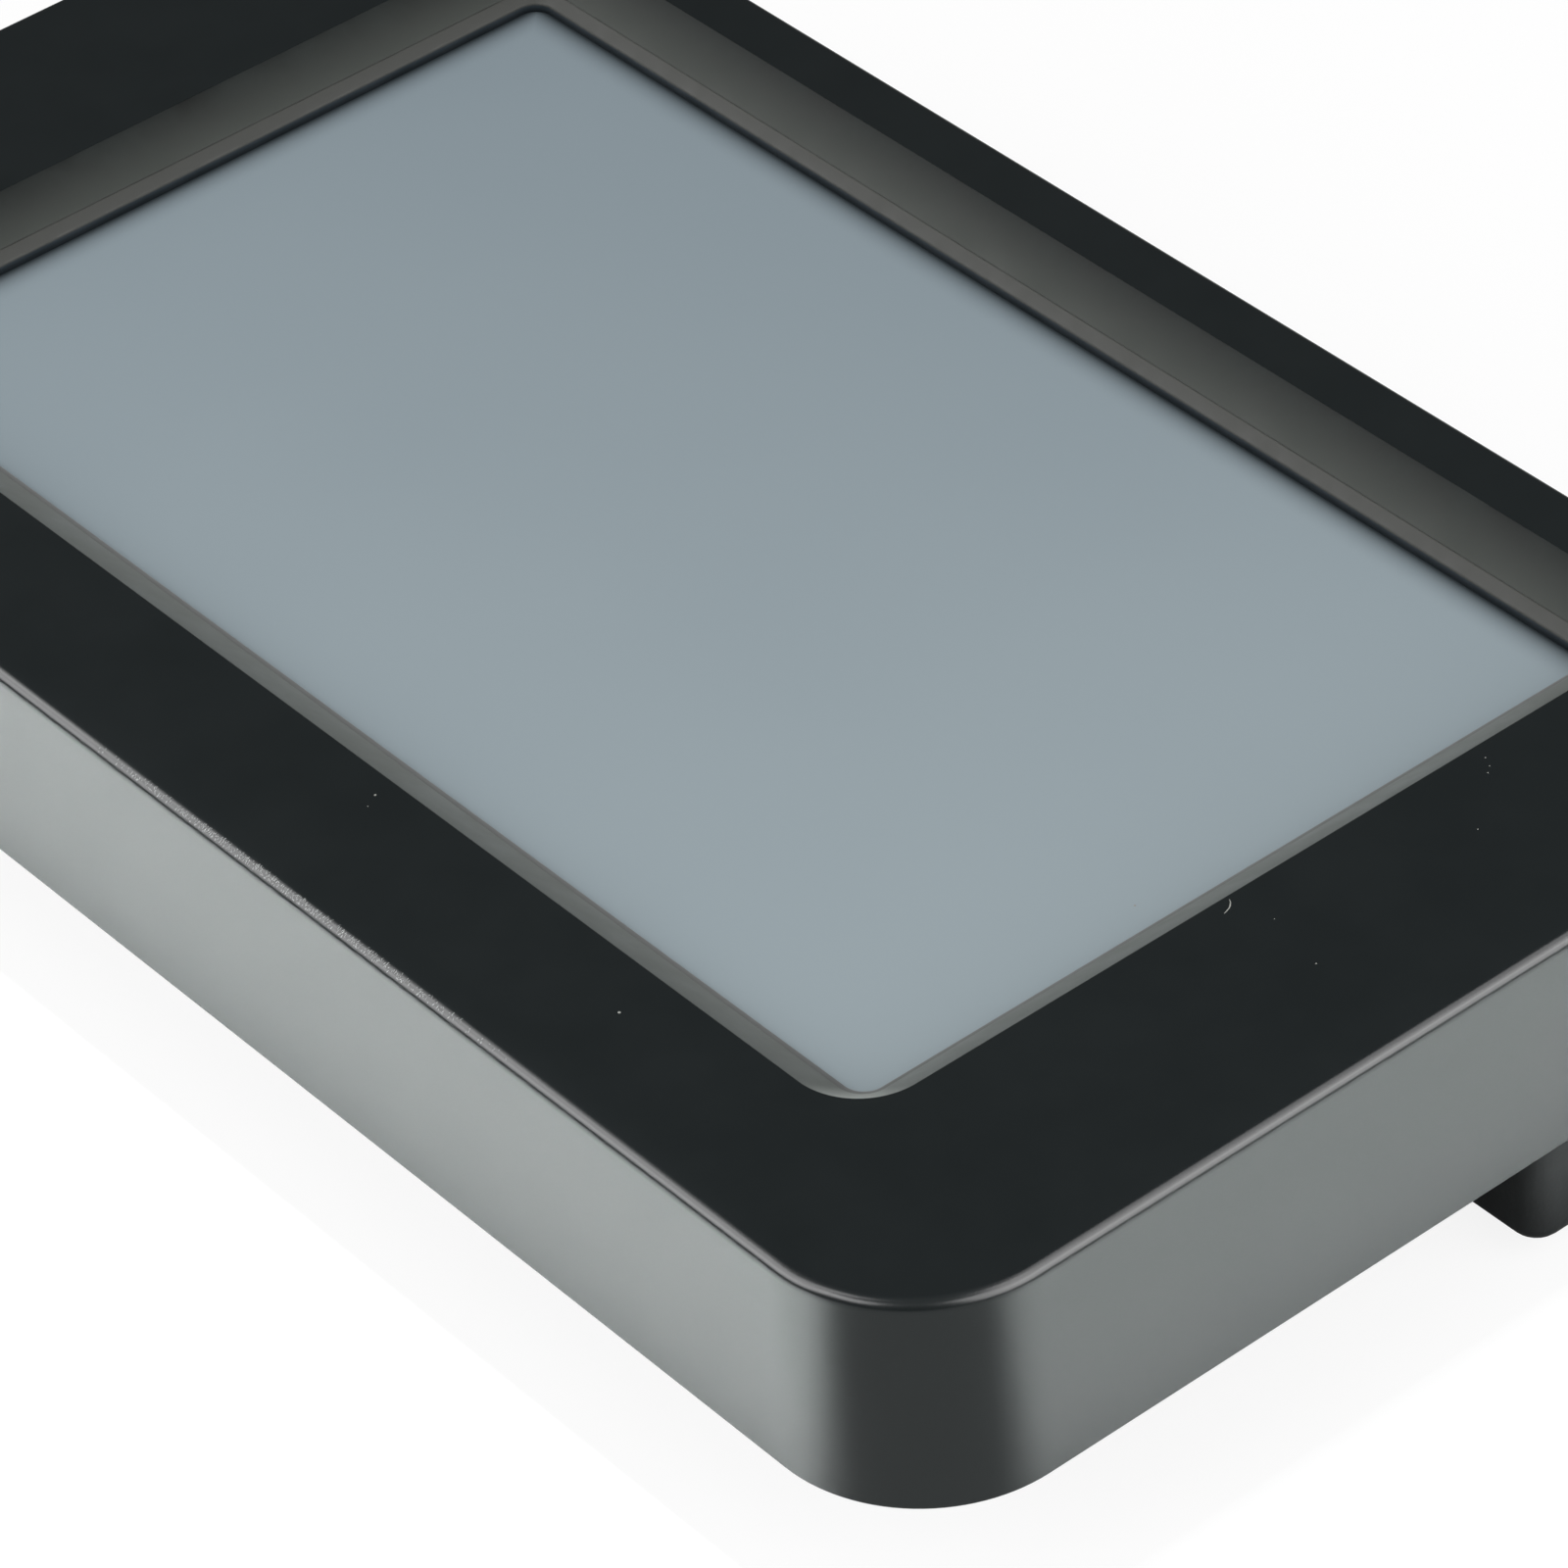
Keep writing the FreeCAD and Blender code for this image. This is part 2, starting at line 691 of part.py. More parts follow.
def make_seal():
    """The soft frame between the lip and the screen; its inner edge shows inside the window."""
    z = "top - film_down"
    middle = "window_y - display_shift"
    body = new_body("screen_gasket", z, middle)
    sketch = new_sketch(body)
    add_rectangle(sketch, "touch_length", "touch_width")
    add_rectangle(sketch, "view_length", "view_width", "view_corner", y="display_shift")
    pad(body, sketch, "seal_thick")
    funnel(body, "seal_thick - seal_drop", ("view_length", "view_width", "view_corner"),
           "seal_thick", ("lip_length", "lip_width", "lip_corner"), y="display_shift")


def make_touch_panel():
    """Film, adhesive frame and glass of a resistive touch panel, and its foam frame."""
    block("touch_film", "touch_length", "touch_width", "film_thick",
          "top - spacer_down", "display_y")
    outer = ("touch_length", "touch_width")
    inner = ("touch_length - 2 * spacer_border", "touch_width - 2 * spacer_border")
    ring("touch_spacer", outer, inner, "spacer_thick", "top - glass_down", "display_y")
    block("touch_glass", "touch_length", "touch_width", "glass_thick",
          "top - foam_down", "display_y")
    inner = ("touch_length - 2 * foam_border", "touch_width - 2 * foam_border")
    ring("foam_frame", outer, inner, "foam_thick", "top - display_down", "display_y")


# Display

def make_display():
    """The liquid crystal display, from its steel front frame to its steel back tray."""
    body = new_body("display_frame", "top - clamp_down", "display_y")
    outside = new_sketch(body)
    add_rectangle(outside, "display_length", "display_width")
    pad(body, outside, "display_depth")
    inside = new_sketch(body)
    add_rectangle(inside, "display_length - 2 * sheet_steel", "display_width - 2 * sheet_steel")
    pocket(body, inside, "display_depth - sheet_steel")
    opening = new_sketch(body, z="display_depth", y="display_shift")
    add_rectangle(opening, "view_length + 2 * frame_play_x", "view_width + 2 * frame_play_y")
    pocket(body, opening, "sheet_steel", up=False)
    slit = new_sketch(body, y="sheet_steel / 2 - display_width / 2", z="clamp_down - lower_down")
    add_rectangle(slit, "display_tail_wide + 2 * tail_air", "sheet_steel")
    pocket(body, slit, "cell_thick + sheet_steel")

    polariser_length = "view_length + 2 * frame_play_x - 2 * polariser_border"
    polariser_width = "view_width + 2 * frame_play_y - 2 * polariser_border"
    block("upper_polariser", polariser_length, polariser_width, "polariser_thick",
          "top - cell_down", "window_y")

    # two sheets of glass sealed together, the lower one reaching out as a ledge
    glass = new_body("display_glass", "top - lower_down", "display_y")
    lower = new_sketch(glass)
    add_rectangle(lower, "cell_length", "cell_width")
    pad(glass, lower, "cell_thick")
    upper = new_sketch(glass, z="cell_thick", y="cell_ledge / 2")
    add_rectangle(upper, "cell_length", "cell_width - cell_ledge")
    pad(glass, upper, "cell_thick")

    chips = new_body("driver_chips", "top - lower_down + cell_thick",
                     "display_y - cell_width / 2 + cell_ledge - driver_wide", "0 - chip_pitch")
    chip = new_sketch(chips)
    add_rectangle(chip, "driver_long", "driver_wide")
    row(chips, pad(chips, chip, "driver_tall"), "2 * chip_pitch", "3")

    sheet_size = ("light_length - sheet_play", "light_width - sheet_play")
    block("lower_polariser", *sheet_size, "polariser_thick", "top - prism_down", "display_y")
    block("prism_sheet", *sheet_size, "optic_sheet", "top - diffuser_down", "display_y")
    block("diffuser_sheet", *sheet_size, "optic_sheet", "top - guide_down", "display_y")
    block("reflector_sheet", *sheet_size, "optic_sheet", "top - tray_down", "display_y")
    lit_edge = "(strip_thick + lamp_deep + display_fit / 2)"
    block("light_guide", "light_length - sheet_play", f"light_width - {lit_edge} - display_fit",
          "guide_thick", "top - reflector_down", f"display_y + {lit_edge} / 2 - display_fit / 2")
    ring("backlight_frame", ("cell_length", "cell_width"), ("light_length", "light_width"),
         "tray_down - lower_down", "top - tray_down", "display_y")

    # the strip stands on edge inside the frame and its lamps face the guide
    strip_low = "(display_y - light_width / 2)"
    block("led_strip", "light_length - sheet_play", "strip_thick", "guide_thick",
          "top - reflector_down", f"{strip_low} + strip_thick / 2")
    lamps = new_body("backlight_leds", "top - reflector_down + (guide_thick - lamp_tall) / 2",
                     f"{strip_low} + strip_thick + lamp_deep / 2",
                     "0 - lamp_pitch * (lamp_count - 1) / 2")
    lamp = new_sketch(lamps)
    add_rectangle(lamp, "lamp_wide", "lamp_deep")
    row(lamps, pad(lamps, lamp, "lamp_tall"), "lamp_pitch * (lamp_count - 1)", "lamp_count")

    block("display_tray", "display_length - 2 * sheet_steel", "display_width - 2 * sheet_steel",
          "clamp_down - tray_down", "top - clamp_down", "display_y")


def make_clamps():
    """Four brackets over the back of the display, screwed to bosses of the case."""
    inner = "(display_length / 2 - clamp_grip)"
    outer = "(clamp_x + clamp_boss / 2)"
    body = new_body("display_clamps", "top - clamp_down - clamp_thick", "display_y")
    sketch = new_sketch(body, y="0 - clamp_pitch / 2")
    for side in ("", "-"):
        add_rectangle(sketch, f"({outer} - {inner})", "clamp_long", "clamp_corner",
                      x=f"{side}(({outer} + {inner}) / 2)")
    copies(body, pad(body, sketch, "clamp_thick"), "Y_Axis", "clamp_pitch", "2")
    hole = new_sketch(body, x="0 - clamp_x", y="0 - clamp_pitch / 2")
    add_circle(hole, "screw_clear")
    cut = pocket(body, hole, "clamp_thick")
    grid(body, cut, "2 * clamp_x", "2", "clamp_pitch", "2", grows=False)
    screws("clamp_screws", "clamp_screw_long", "top - clamp_down - clamp_thick",
           "2 * clamp_x", "2", "clamp_pitch", "2", "display_y")


# Rear cover

def make_rear_cover():
    """The back: a plate inside the case's rim and a raised box, wide above and narrow below."""
    body = new_body("rear_cover", "foot_height")
    plate = new_sketch(body, z="box_depth")
    add_rectangle(plate, "cover_length", "cover_width", "case_corner - case_wall - cover_fit")
    pad(body, plate, "cover_plate")
    parts = (("shoulder_length", "shoulder_wide", "shoulder_y", "case_corner - shoulder_inset"),
             ("spine_width", "spine_length", "spine_y", "box_corner"))
    for length, width, middle, high_corner in parts:
        outside = new_sketch(body, y=middle)
        add_rectangle(outside, length, width, "box_corner", high_radius=high_corner)
        pad(body, outside, "box_depth")
    rounded(body, "0", "box_edge")
    for length, width, middle, high_corner in parts:
        inside = new_sketch(body, y=middle, z="box_wall")
        add_rectangle(inside, f"{length} - 2 * box_wall", f"{width} - 2 * box_wall",
                      "box_corner - box_wall", high_radius=f"{high_corner} - box_wall")
        pocket(body, inside, "cover_height")

    # pillars round the upper pair of cover screws, which are driven through the box
    pillar = new_sketch(body, x="0 - cover_pitch_x / 2", y="cover_pitch_y", z="box_wall / 2")
    add_circle(pillar, "pillar")
    row(body, pad(body, pillar, "cover_height - box_wall / 2"), "cover_pitch_x", "2")
    seat = new_sketch(body, x="0 - cover_pitch_x / 2", y="0 - cover_pitch_y")
    add_circle(seat, "screw_head + 2 * head_play")
    bore = new_sketch(body, x="0 - cover_pitch_x / 2", y="0 - cover_pitch_y")
    add_circle(bore, "screw_clear")
    for drawn, deep in ((seat, "cover_height - cover_seat"), (bore, "cover_height")):
        cut = pocket(body, drawn, deep)
        grid(body, cut, "cover_pitch_x", "2", "2 * cover_pitch_y", "3", grows=False)

    # standoffs that carry the board
    post = new_sketch(body, x="0 - standoff_pitch_x / 2", y="board_low + standoff_edge",
                      z="box_wall / 2")
    add_circle(post, "standoff_wide")
    posts = pad(body, post, "box_wall / 2 + standoff_tall")
    grid(body, posts, "standoff_pitch_x", "2", "standoff_pitch_y", "2")
    pilot = new_sketch(body, x="0 - standoff_pitch_x / 2", y="board_low + standoff_edge",
                       z="box_wall + standoff_tall")
    add_circle(pilot, "screw_pilot")
    cut = pocket(body, pilot, "board_screw_long - board_thick + board_hole_spare", up=False)
    grid(body, cut, "standoff_pitch_x", "2", "standoff_pitch_y", "2", grows=False)

    # bosses and bores for the threaded inserts
    socket = new_sketch(body, x="0 - mount_pitch / 2", y="mount_y - mount_pitch / 2",
                        z="box_wall / 2")
    add_circle(socket, "insert_boss")
    sockets = pad(body, socket, "insert_long + insert_cover - box_wall / 2")
    grid(body, sockets, "mount_pitch", "2", "mount_pitch", "2")
    bore = new_sketch(body, x="0 - mount_pitch / 2", y="mount_y - mount_pitch / 2")
    add_circle(bore, "insert_outer")
    cut = pocket(body, bore, "insert_long")
    grid(body, cut, "mount_pitch", "2", "mount_pitch", "2", grows=False)

    # shallow seats of the rubber feet
    for across, up in (("foot_high_x", "foot_high_y"), ("foot_low_x", "foot_low_y")):
        seat = new_sketch(body, x=f"0 - {across}", y=up)
        add_circle(seat, "foot_width + 2 * foot_fit")
        row(body, pocket(body, seat, "foot_sunk"), f"2 * {across}", "2", grows=False)

    # a row of air slots through the back
    slot = new_sketch(body, x="0 - slot_pitch * (slot_count - 1) / 2", y="slot_y")
    add_rectangle(slot, "slot_wide", "slot_long", "slot_corner")
    cut = pocket(body, slot, "box_wall")
    row(body, cut, "slot_pitch * (slot_count - 1)", "slot_count", grows=False)

    # openings for the header and the sockets in the walls that face down the screen
    face = "(board_top - foot_height)"
    for wide, tall, place in (("header_long", "header_tall", "header_x"),
                              ("bus_wide", "bus_tall", "bus_x"),
                              ("card_mouth", "card_tall", "card_x")):
        port = new_sketch(body, "XZ_Plane", x=place, z="0 - shoulder_low - box_wall")
        add_rectangle(port, f"{wide} + 2 * port_play", f"({tall} + 2 * port_play)",
                      y=f"{face} + {tall} / 2")
        pocket(body, port, "box_wall")


def make_cover_parts():
    """Screws, threaded inserts and rubber feet of the rear cover."""
    screws("cover_screws", "cover_screw_long", "rim + cover_plate - cover_seat",
           "cover_pitch_x", "2", "2 * cover_pitch_y", "3")

    inserts = new_body("mount_inserts", "foot_height", "mount_y - mount_pitch / 2",
                       "0 - mount_pitch / 2")
    sketch = new_sketch(inserts)
    add_circle(sketch, "insert_outer")
    add_circle(sketch, "insert_bore")
    tube = pad(inserts, sketch, "insert_long")
    grid(inserts, tube, "mount_pitch", "2", "mount_pitch", "2")

    feet = new_body("rubber_feet", "0")
    for side in ("", "0 - "):
        for across, up in (("foot_high_x", "foot_high_y"), ("foot_low_x", "foot_low_y")):
            sketch = new_sketch(feet, x=f"{side}{across}", y=up)
            add_circle(sketch, "foot_width")
            pad(feet, sketch, "foot_height + foot_sunk")
    rounded(feet, "0", "foot_round")


# Main board

def make_board():
    """The board in the upper part of the box, lying on four standoffs."""
    body = new_body("main_board", "board_z", "board_y")
    outline = new_sketch(body)
    add_rectangle(outline, "board_length", "board_width", "board_corner")
    pad(body, outline, "board_thick")
    hole = new_sketch(body, x="0 - standoff_pitch_x / 2", y="standoff_edge - board_width / 2")
    add_circle(hole, "screw_clear")
    cut = pocket(body, hole, "board_thick")
    grid(body, cut, "standoff_pitch_x", "2", "standoff_pitch_y", "2", grows=False)
    screws("board_screws", "board_screw_long", "board_top", "standoff_pitch_x", "2",
           "standoff_pitch_y", "2", "board_y", heads_up=True)


def make_board_parts():
    """Chips, coil, capacitors, crystal, coin cell and sounder on top of the board."""
    block("processor", "processor_side", "processor_side", "processor_tall", "board_top",
          "board_y", "processor_side / 2")
    block("memory_chip", "memory_wide", "memory_long", "memory_tall", "board_top",
          "board_y", "memory_x")
    block("flash_chip", "flash_wide", "flash_long", "flash_tall", "board_top",
          "board_high - part_gap - flash_long / 2", "memory_x")
    block("touch_chip", "touch_chip_side", "touch_chip_side", "touch_chip_tall", "board_top",
          "touch_socket_y", "touch_tail_x - touch_socket_long / 2 - part_gap - touch_chip_side / 2")
    block("regulator", "regulator_side", "regulator_side", "regulator_tall", "board_top", "board_y",
          "memory_x + memory_wide / 2 + part_gap + regulator_side / 2")
    block("power_coil", "coil_side", "coil_side", "coil_tall", "board_top", "board_y",
          "standoff_pitch_x / 2", radius="coil_round")

    cans = new_body("capacitors", "board_top", "board_y + capacitor_base / 2",
                    "header_x - capacitor_pitch")
    foot = new_sketch(cans)
    add_rectangle(foot, "capacitor_base", "capacitor_base", "capacitor_corner")
    row(cans, pad(cans, foot, "capacitor_base_tall"), "2 * capacitor_pitch", "3")
    can = new_sketch(cans, z="capacitor_base_tall")
    add_circle(can, "capacitor_wide")
    row(cans, pad(cans, can, "capacitor_tall - capacitor_base_tall"), "2 * capacitor_pitch", "3")

    block("crystal", "crystal_long", "crystal_wide", "crystal_tall", "board_top",
          "board_y - processor_side / 2 + board_gap", "crystal_x", radius="crystal_corner")

    small = new_body("chip_parts", "board_top", "board_low + part_gap",
                     "display_socket_long / 2 + part_gap")
    piece = new_sketch(small)
    add_rectangle(piece, "small_long", "small_wide")
    grid(small, pad(small, piece, "small_tall"), "small_pitch * (small_count - 1)", "small_count",
         "small_pitch", "2")

    # the coin cell lies in an open holder
    holder = new_body("cell_holder", "board_top", "coin_y", "coin_x")
    outline = new_sketch(holder)
    add_rectangle(outline, "holder_wide", "holder_long", "board_corner")
    pad(holder, outline, "holder_tall")
    nest = new_sketch(holder, z="holder_floor")
    add_circle(nest, "coin_wide + 2 * coin_play")
    pocket(holder, nest, "holder_tall")
    cell = new_body("coin_cell", "board_top + holder_floor", "coin_y", "coin_x")
    disc = new_sketch(cell)
    add_circle(disc, "coin_wide")
    pad(cell, disc, "coin_tall")

    buzzer = new_body("sounder", "board_top", "board_y", "bus_x")
    can = new_sketch(buzzer)
    add_circle(can, "sounder_wide")
    pad(buzzer, can, "sounder_tall")
    mouth = new_sketch(buzzer, z="sounder_tall")
    add_circle(mouth, "sounder_hole")
    pocket(buzzer, mouth, "sounder_tall / 2", up=False)


def ribbon_socket(name, long, deep, y, x, mouth_up_screen):
    """A low socket with a slit along the side that its ribbon enters."""
    body = block(name, long, deep, "socket_tall", "board_top", y, x)
    side = "" if mouth_up_screen else "0 - "
    slit = new_sketch(body, y=f"{side}({deep} - mouth_deep) / 2", z="(socket_tall - mouth_tall) / 2")
    add_rectangle(slit, f"{long} - 2 * mouth_end", "mouth_deep")
    pocket(body, slit, "mouth_tall")


def make_sockets():
    """Ribbon sockets, and the header and sockets that face out of the box."""
    ribbon_socket("display_socket", "display_socket_long", "display_socket_deep",
                  "display_socket_y", "0", mouth_up_screen=False)
    ribbon_socket("touch_socket", "touch_socket_long", "touch_socket_deep",
                  "touch_socket_y", "touch_tail_x", mouth_up_screen=True)

    header = new_body("terminal_header", "board_top", "port_y + header_deep / 2", "header_x")
    outline = new_sketch(header)
    add_rectangle(outline, "header_long", "header_deep")
    pad(header, outline, "header_tall")
    ways = "header_pitch * (header_ways - 1)"
    way = new_sketch(header, "XZ_Plane", x=f"0 - {ways} / 2", z="header_deep / 2",
                     y="header_tall / 2")
    add_rectangle(way, "header_way", "header_tall - 2 * header_floor")
    cut = pocket(header, way, "header_deep - header_floor", up=False)
    row(header, cut, ways, "header_ways", grows=False)

    pins = new_body("terminal_pins", "board_top + header_tall / 2",
                    "port_y + header_deep - header_floor", f"header_x - {ways} / 2")
    pin = new_sketch(pins, "XZ_Plane")
    add_rectangle(pin, "pin_side", "pin_side")
    row(pins, pad(pins, pin, "pin_long"), ways, "header_ways")

    bus = new_body("bus_socket", "board_top", "port_y + bus_deep / 2", "bus_x")
    outline = new_sketch(bus)
    add_rectangle(outline, "bus_wide", "bus_deep")
    pad(bus, outline, "bus_tall")
    mouth = new_sketch(bus, "XZ_Plane", y="bus_tall / 2", z="bus_deep / 2")
    add_rectangle(mouth, "bus_wide - 2 * bus_shell", "bus_tall - 2 * bus_shell")
    add_rectangle(mouth, "bus_wide - 6 * bus_shell", "bus_tongue")
    pocket(bus, mouth, "bus_deep - bus_shell", up=False)

    card = new_body("card_socket", "board_top", "port_y + box_wall + card_deep / 2", "card_x")
    outline = new_sketch(card)
    add_rectangle(outline, "card_wide", "card_deep")
    pad(card, outline, "card_tall")
    slot = new_sketch(card, "XZ_Plane", y="card_tall / 2", z="card_deep / 2")
    add_rectangle(slot, "card_mouth", "card_slot")
    pocket(card, slot, "card_deep - bus_shell", up=False)


# Ribbon tails

def ribbon(name, wide, x, points):
    """A flat tail that follows points up the screen and in height, with round bends."""
    body = new_body(name, "0", "0", x)
    path = new_sketch(body, "YZ_Plane")
    add_polyline(path, points, closed=False)
    start = new_sketch(body, "XZ_Plane", y=points[0][1], z=f"0 - ({points[0][0]})")
    add_rectangle(start, wide, "tail_thick")
    doc.recompute()
    feature = body.newObject("PartDesign::AdditivePipe", f"{name}_pipe")
    feature.Profile = start
    feature.Spine = path
    feature.Transition = "Round corner"
    changed(body, feature, True)


def make_tails():
    """The display's tail round its lower edge, and the touch panel's over its upper edge."""
    half = "(tail_thick / 2)"
    ledge = f"(top - lower_down + cell_thick + {half})"
    outside = "(display_y - display_width / 2 - tail_bulge)"
    behind = f"(top - clamp_down - tail_air - {half})"
    mouth = "(display_socket_y - display_socket_deep / 2 + mouth_deep - tail_air)"
    ribbon("display_tail", "display_tail_wide", "0", [
        ("display_y - cell_width / 2 + cell_ledge / 2 - tail_air", ledge),
        (outside, ledge),
        (outside, behind),
        ("board_low - 4 * board_gap", behind),
        ("board_low - 4 * board_gap", "socket_mouth"),
        (mouth, "socket_mouth"),
    ])
    level = "(top - foam_down + glass_thick / 2)"
    edge = "(display_y + display_width / 2)"
    bend = "(rim + cover_plate + 3 * tail_bulge)"
    wall = "(shoulder_high - box_wall - tail_bulge)"
    inlet = "(touch_socket_y + touch_socket_deep / 2 - mouth_deep + tail_air)"
    ribbon("touch_tail", "touch_tail_wide", "touch_tail_x", [
        ("display_y + touch_width / 2", level),
        (f"{edge} + tail_bulge", level),
        (f"{edge} + tail_bulge", bend),
        (wall, bend),
        (wall, "socket_mouth"),
        (inlet, "socket_mouth"),
    ])


def write_parts():
    """Check every object and write one file for each piece."""
    for thing in doc.Objects:
        if "Invalid" in thing.State or "Error" in thing.State:
            raise RuntimeError(f"{thing.Name} failed: {thing.State}")
    os.makedirs("parts", exist_ok=True)
    for body in nodes:
        shape = body.Shape
        if shape.isNull() or not shape.isValid():
            raise RuntimeError(f"{body.Label} has no valid shape")
        shape.exportStep(f"parts/{body.Label}.step")
        print(f"{body.Label}: {len(shape.Solids)} solid, {shape.Volume:.1f} mm3")


make_front_case()
make_seal()
make_touch_panel()
make_display()
make_clamps()
make_rear_cover()
make_cover_parts()
make_board()
make_board_parts()
make_sockets()
make_tails()
doc.recompute()
write_parts()
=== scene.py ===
import logging
import math
from dataclasses import dataclass, field
from enum import Enum

import bpy
import numpy as np
from mathutils import Matrix, Vector


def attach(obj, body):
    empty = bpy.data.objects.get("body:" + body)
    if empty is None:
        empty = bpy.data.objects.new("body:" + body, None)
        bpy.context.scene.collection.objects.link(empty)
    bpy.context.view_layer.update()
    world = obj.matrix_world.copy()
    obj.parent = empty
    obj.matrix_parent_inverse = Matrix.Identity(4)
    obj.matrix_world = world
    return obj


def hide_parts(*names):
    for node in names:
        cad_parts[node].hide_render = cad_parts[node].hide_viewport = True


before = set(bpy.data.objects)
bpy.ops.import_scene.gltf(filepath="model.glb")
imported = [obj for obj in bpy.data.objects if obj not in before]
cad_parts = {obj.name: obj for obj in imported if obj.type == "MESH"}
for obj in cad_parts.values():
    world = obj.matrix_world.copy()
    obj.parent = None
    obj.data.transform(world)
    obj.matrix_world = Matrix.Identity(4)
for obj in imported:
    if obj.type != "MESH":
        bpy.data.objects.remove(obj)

log = logging.getLogger("display_module")

MM = 0.001
BODY = "root"

# the smallest corner of an outline, in millimetres
SMALLEST_CORNER = 0.05
# how far along a side its shading is held flat beside a corner, as a share of the side
SIDE_HOLD = 0.004
# the dust on a surface scatters light more widely than the surface does
DUST_ROUGHNESS = 0.35


# Sizes shared by several pieces, in millimetres, in the frame of the solids

@dataclass(frozen=True)
class Heights:
    """Levels of the module above the surface that its feet stand on."""

    rim: float = 17.5
    screen: float = 36.0
    top: float = 41.3
    dust_room: float = 0.05

    @property
    def face(self) -> float:
        """Height of the case's front face, a little low to leave room for dust."""
        return self.top - self.dust_room


@dataclass(frozen=True)
class Outline:
    """A rectangle with round corners that lies flat."""

    length: float
    width: float
    corner: float
    middle_y: float = 0.0

    def grown(self, by: float) -> "Outline":
        """The outline offset outwards by a distance, or inwards where it is negative."""
        corner = max(self.corner + by, SMALLEST_CORNER)
        return Outline(self.length + 2 * by, self.width + 2 * by, corner, self.middle_y)

    def toward(self, other: "Outline", share: float) -> "Outline":
        """The outline a share of the way to another: each size is a + share (b - a).

        Args:
            other: the outline at the share 1.
            share: 0 for this outline, 1 for the other.

        Returns:
            The outline between them, about this one's middle.
        """
        return Outline(self.length + (other.length - self.length) * share,
                       self.width + (other.width - self.width) * share,
                       self.corner + (other.corner - self.corner) * share, self.middle_y)


HEIGHTS = Heights()
CASE = Outline(217.8, 123.9, 16.1)
WINDOW = Outline(167.6, 100.2, 7.2, 5.0)
LIP = Outline(159.0, 91.6, 2.9, 5.0)
VIEW = Outline(156.6, 89.2, 2.3, 5.0)


# Meshes

def ring_points(outline: Outline, height: float, corner_steps: int = 28) -> np.ndarray:
    """Points round an outline at one height, anticlockwise seen from above.

    Every outline gives the same number of points, so that rings can be joined one to one. A corner
    is c + r (cos t, sin t) through a quarter turn, and a side runs straight to the next corner. It
    has a point close to each end, which keeps the shading of the flat side out of the corner.

    Args:
        outline: the rectangle with round corners.
        height: the ring's height in millimetres.
        corner_steps: segments in each quarter circle.

    Returns:
        An array of points, in metres.
    """
    half_x = outline.length / 2 - outline.corner
    half_y = outline.width / 2 - outline.corner
    centres = np.array([[half_x, -half_y], [half_x, half_y], [-half_x, half_y], [-half_x, -half_y]])
    shares = np.array([SIDE_HOLD, 0.25, 0.5, 0.75, 1 - SIDE_HOLD])
    angles = np.linspace(-90.0, 0.0, corner_steps + 1)
    points = []
    for turn, centre in enumerate(centres):
        around = np.radians(angles + 90.0 * turn)
        arc = centre + outline.corner * np.stack([np.cos(around), np.sin(around)], axis=1)
        last = math.radians(90.0 * turn)
        outwards = np.array([math.cos(last), math.sin(last)])
        following = centres[(turn + 1) % 4] + outline.corner * outwards
        side = arc[-1] + shares[:, None] * (following - arc[-1])
        points.append(np.vstack([arc, side]))
    flat = np.vstack(points)
    flat[:, 1] += outline.middle_y
    tall = np.full((len(flat), 1), height)
    return np.hstack([flat, tall]) * MM


def grid_faces(rows: int, count: int, closed: bool) -> np.ndarray:
    """Faces of a grid whose vertex (i, j) is number i count + j.

    Each face joins points j and j + 1 of rows i and i + 1, in the order (i, j), (i, j + 1),
    (i + 1, j + 1), (i + 1, j).

    Args:
        rows: rows of points.
        count: points in each row.
        closed: whether a row's last point is joined to its first.

    Returns:
        Four vertex numbers for each face.
    """
    steps = count if closed else count - 1
    row, along = np.meshgrid(np.arange(rows - 1), np.arange(steps), indexing="ij")
    here = row * count + along
    after = row * count + (along + 1) % count
    return np.stack([here, after, after + count, here + count], axis=-1).reshape(-1, 4)


def mesh_object(name: str, points: np.ndarray, faces: np.ndarray | list) -> bpy.types.Object:
    """A smoothly shaded object at the origin with a mesh of these points and faces.

    Args:
        name: the object's and its mesh's name.
        points: vertex positions in metres, one row each.
        faces: vertex numbers, one row for each face.

    Returns:
        The object, linked to the scene.
    """
    mesh = bpy.data.meshes.new(name)
    mesh.from_pydata(points.tolist(), [], [list(face) for face in faces])
    mesh.polygons.foreach_set("use_smooth", [True] * len(mesh.polygons))
    mesh.update()
    made = bpy.data.objects.new(name, mesh)
    bpy.context.scene.collection.objects.link(made)
    return made


def ring_surface(name: str, rings: list[np.ndarray]) -> bpy.types.Object:
    """A surface through closed rings: vertex (i, j) is point j of ring i.

    Rings given from the inside of the rim, down, round the outside and in over the top make faces
    that look outwards.

    Args:
        name: the object's name.
        rings: one array of points for each ring, all of one length.

    Returns:
        The object.
    """
    return mesh_object(name, np.vstack(rings), grid_faces(len(rings), len(rings[0]), closed=True))


def ride(piece: bpy.types.Object, slot: str = "", *nodes: str) -> bpy.types.Object:
    """Fix a piece to the module.

    Args:
        piece: the piece.
        slot: not used.
        nodes: the solids that it stands for.

    Returns:
        The piece.
    """
    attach(piece, BODY)
    if nodes:
        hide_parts(*nodes)
    log.info("%s: %d faces", piece.name, len(piece.data.polygons))
    return piece


# Materials

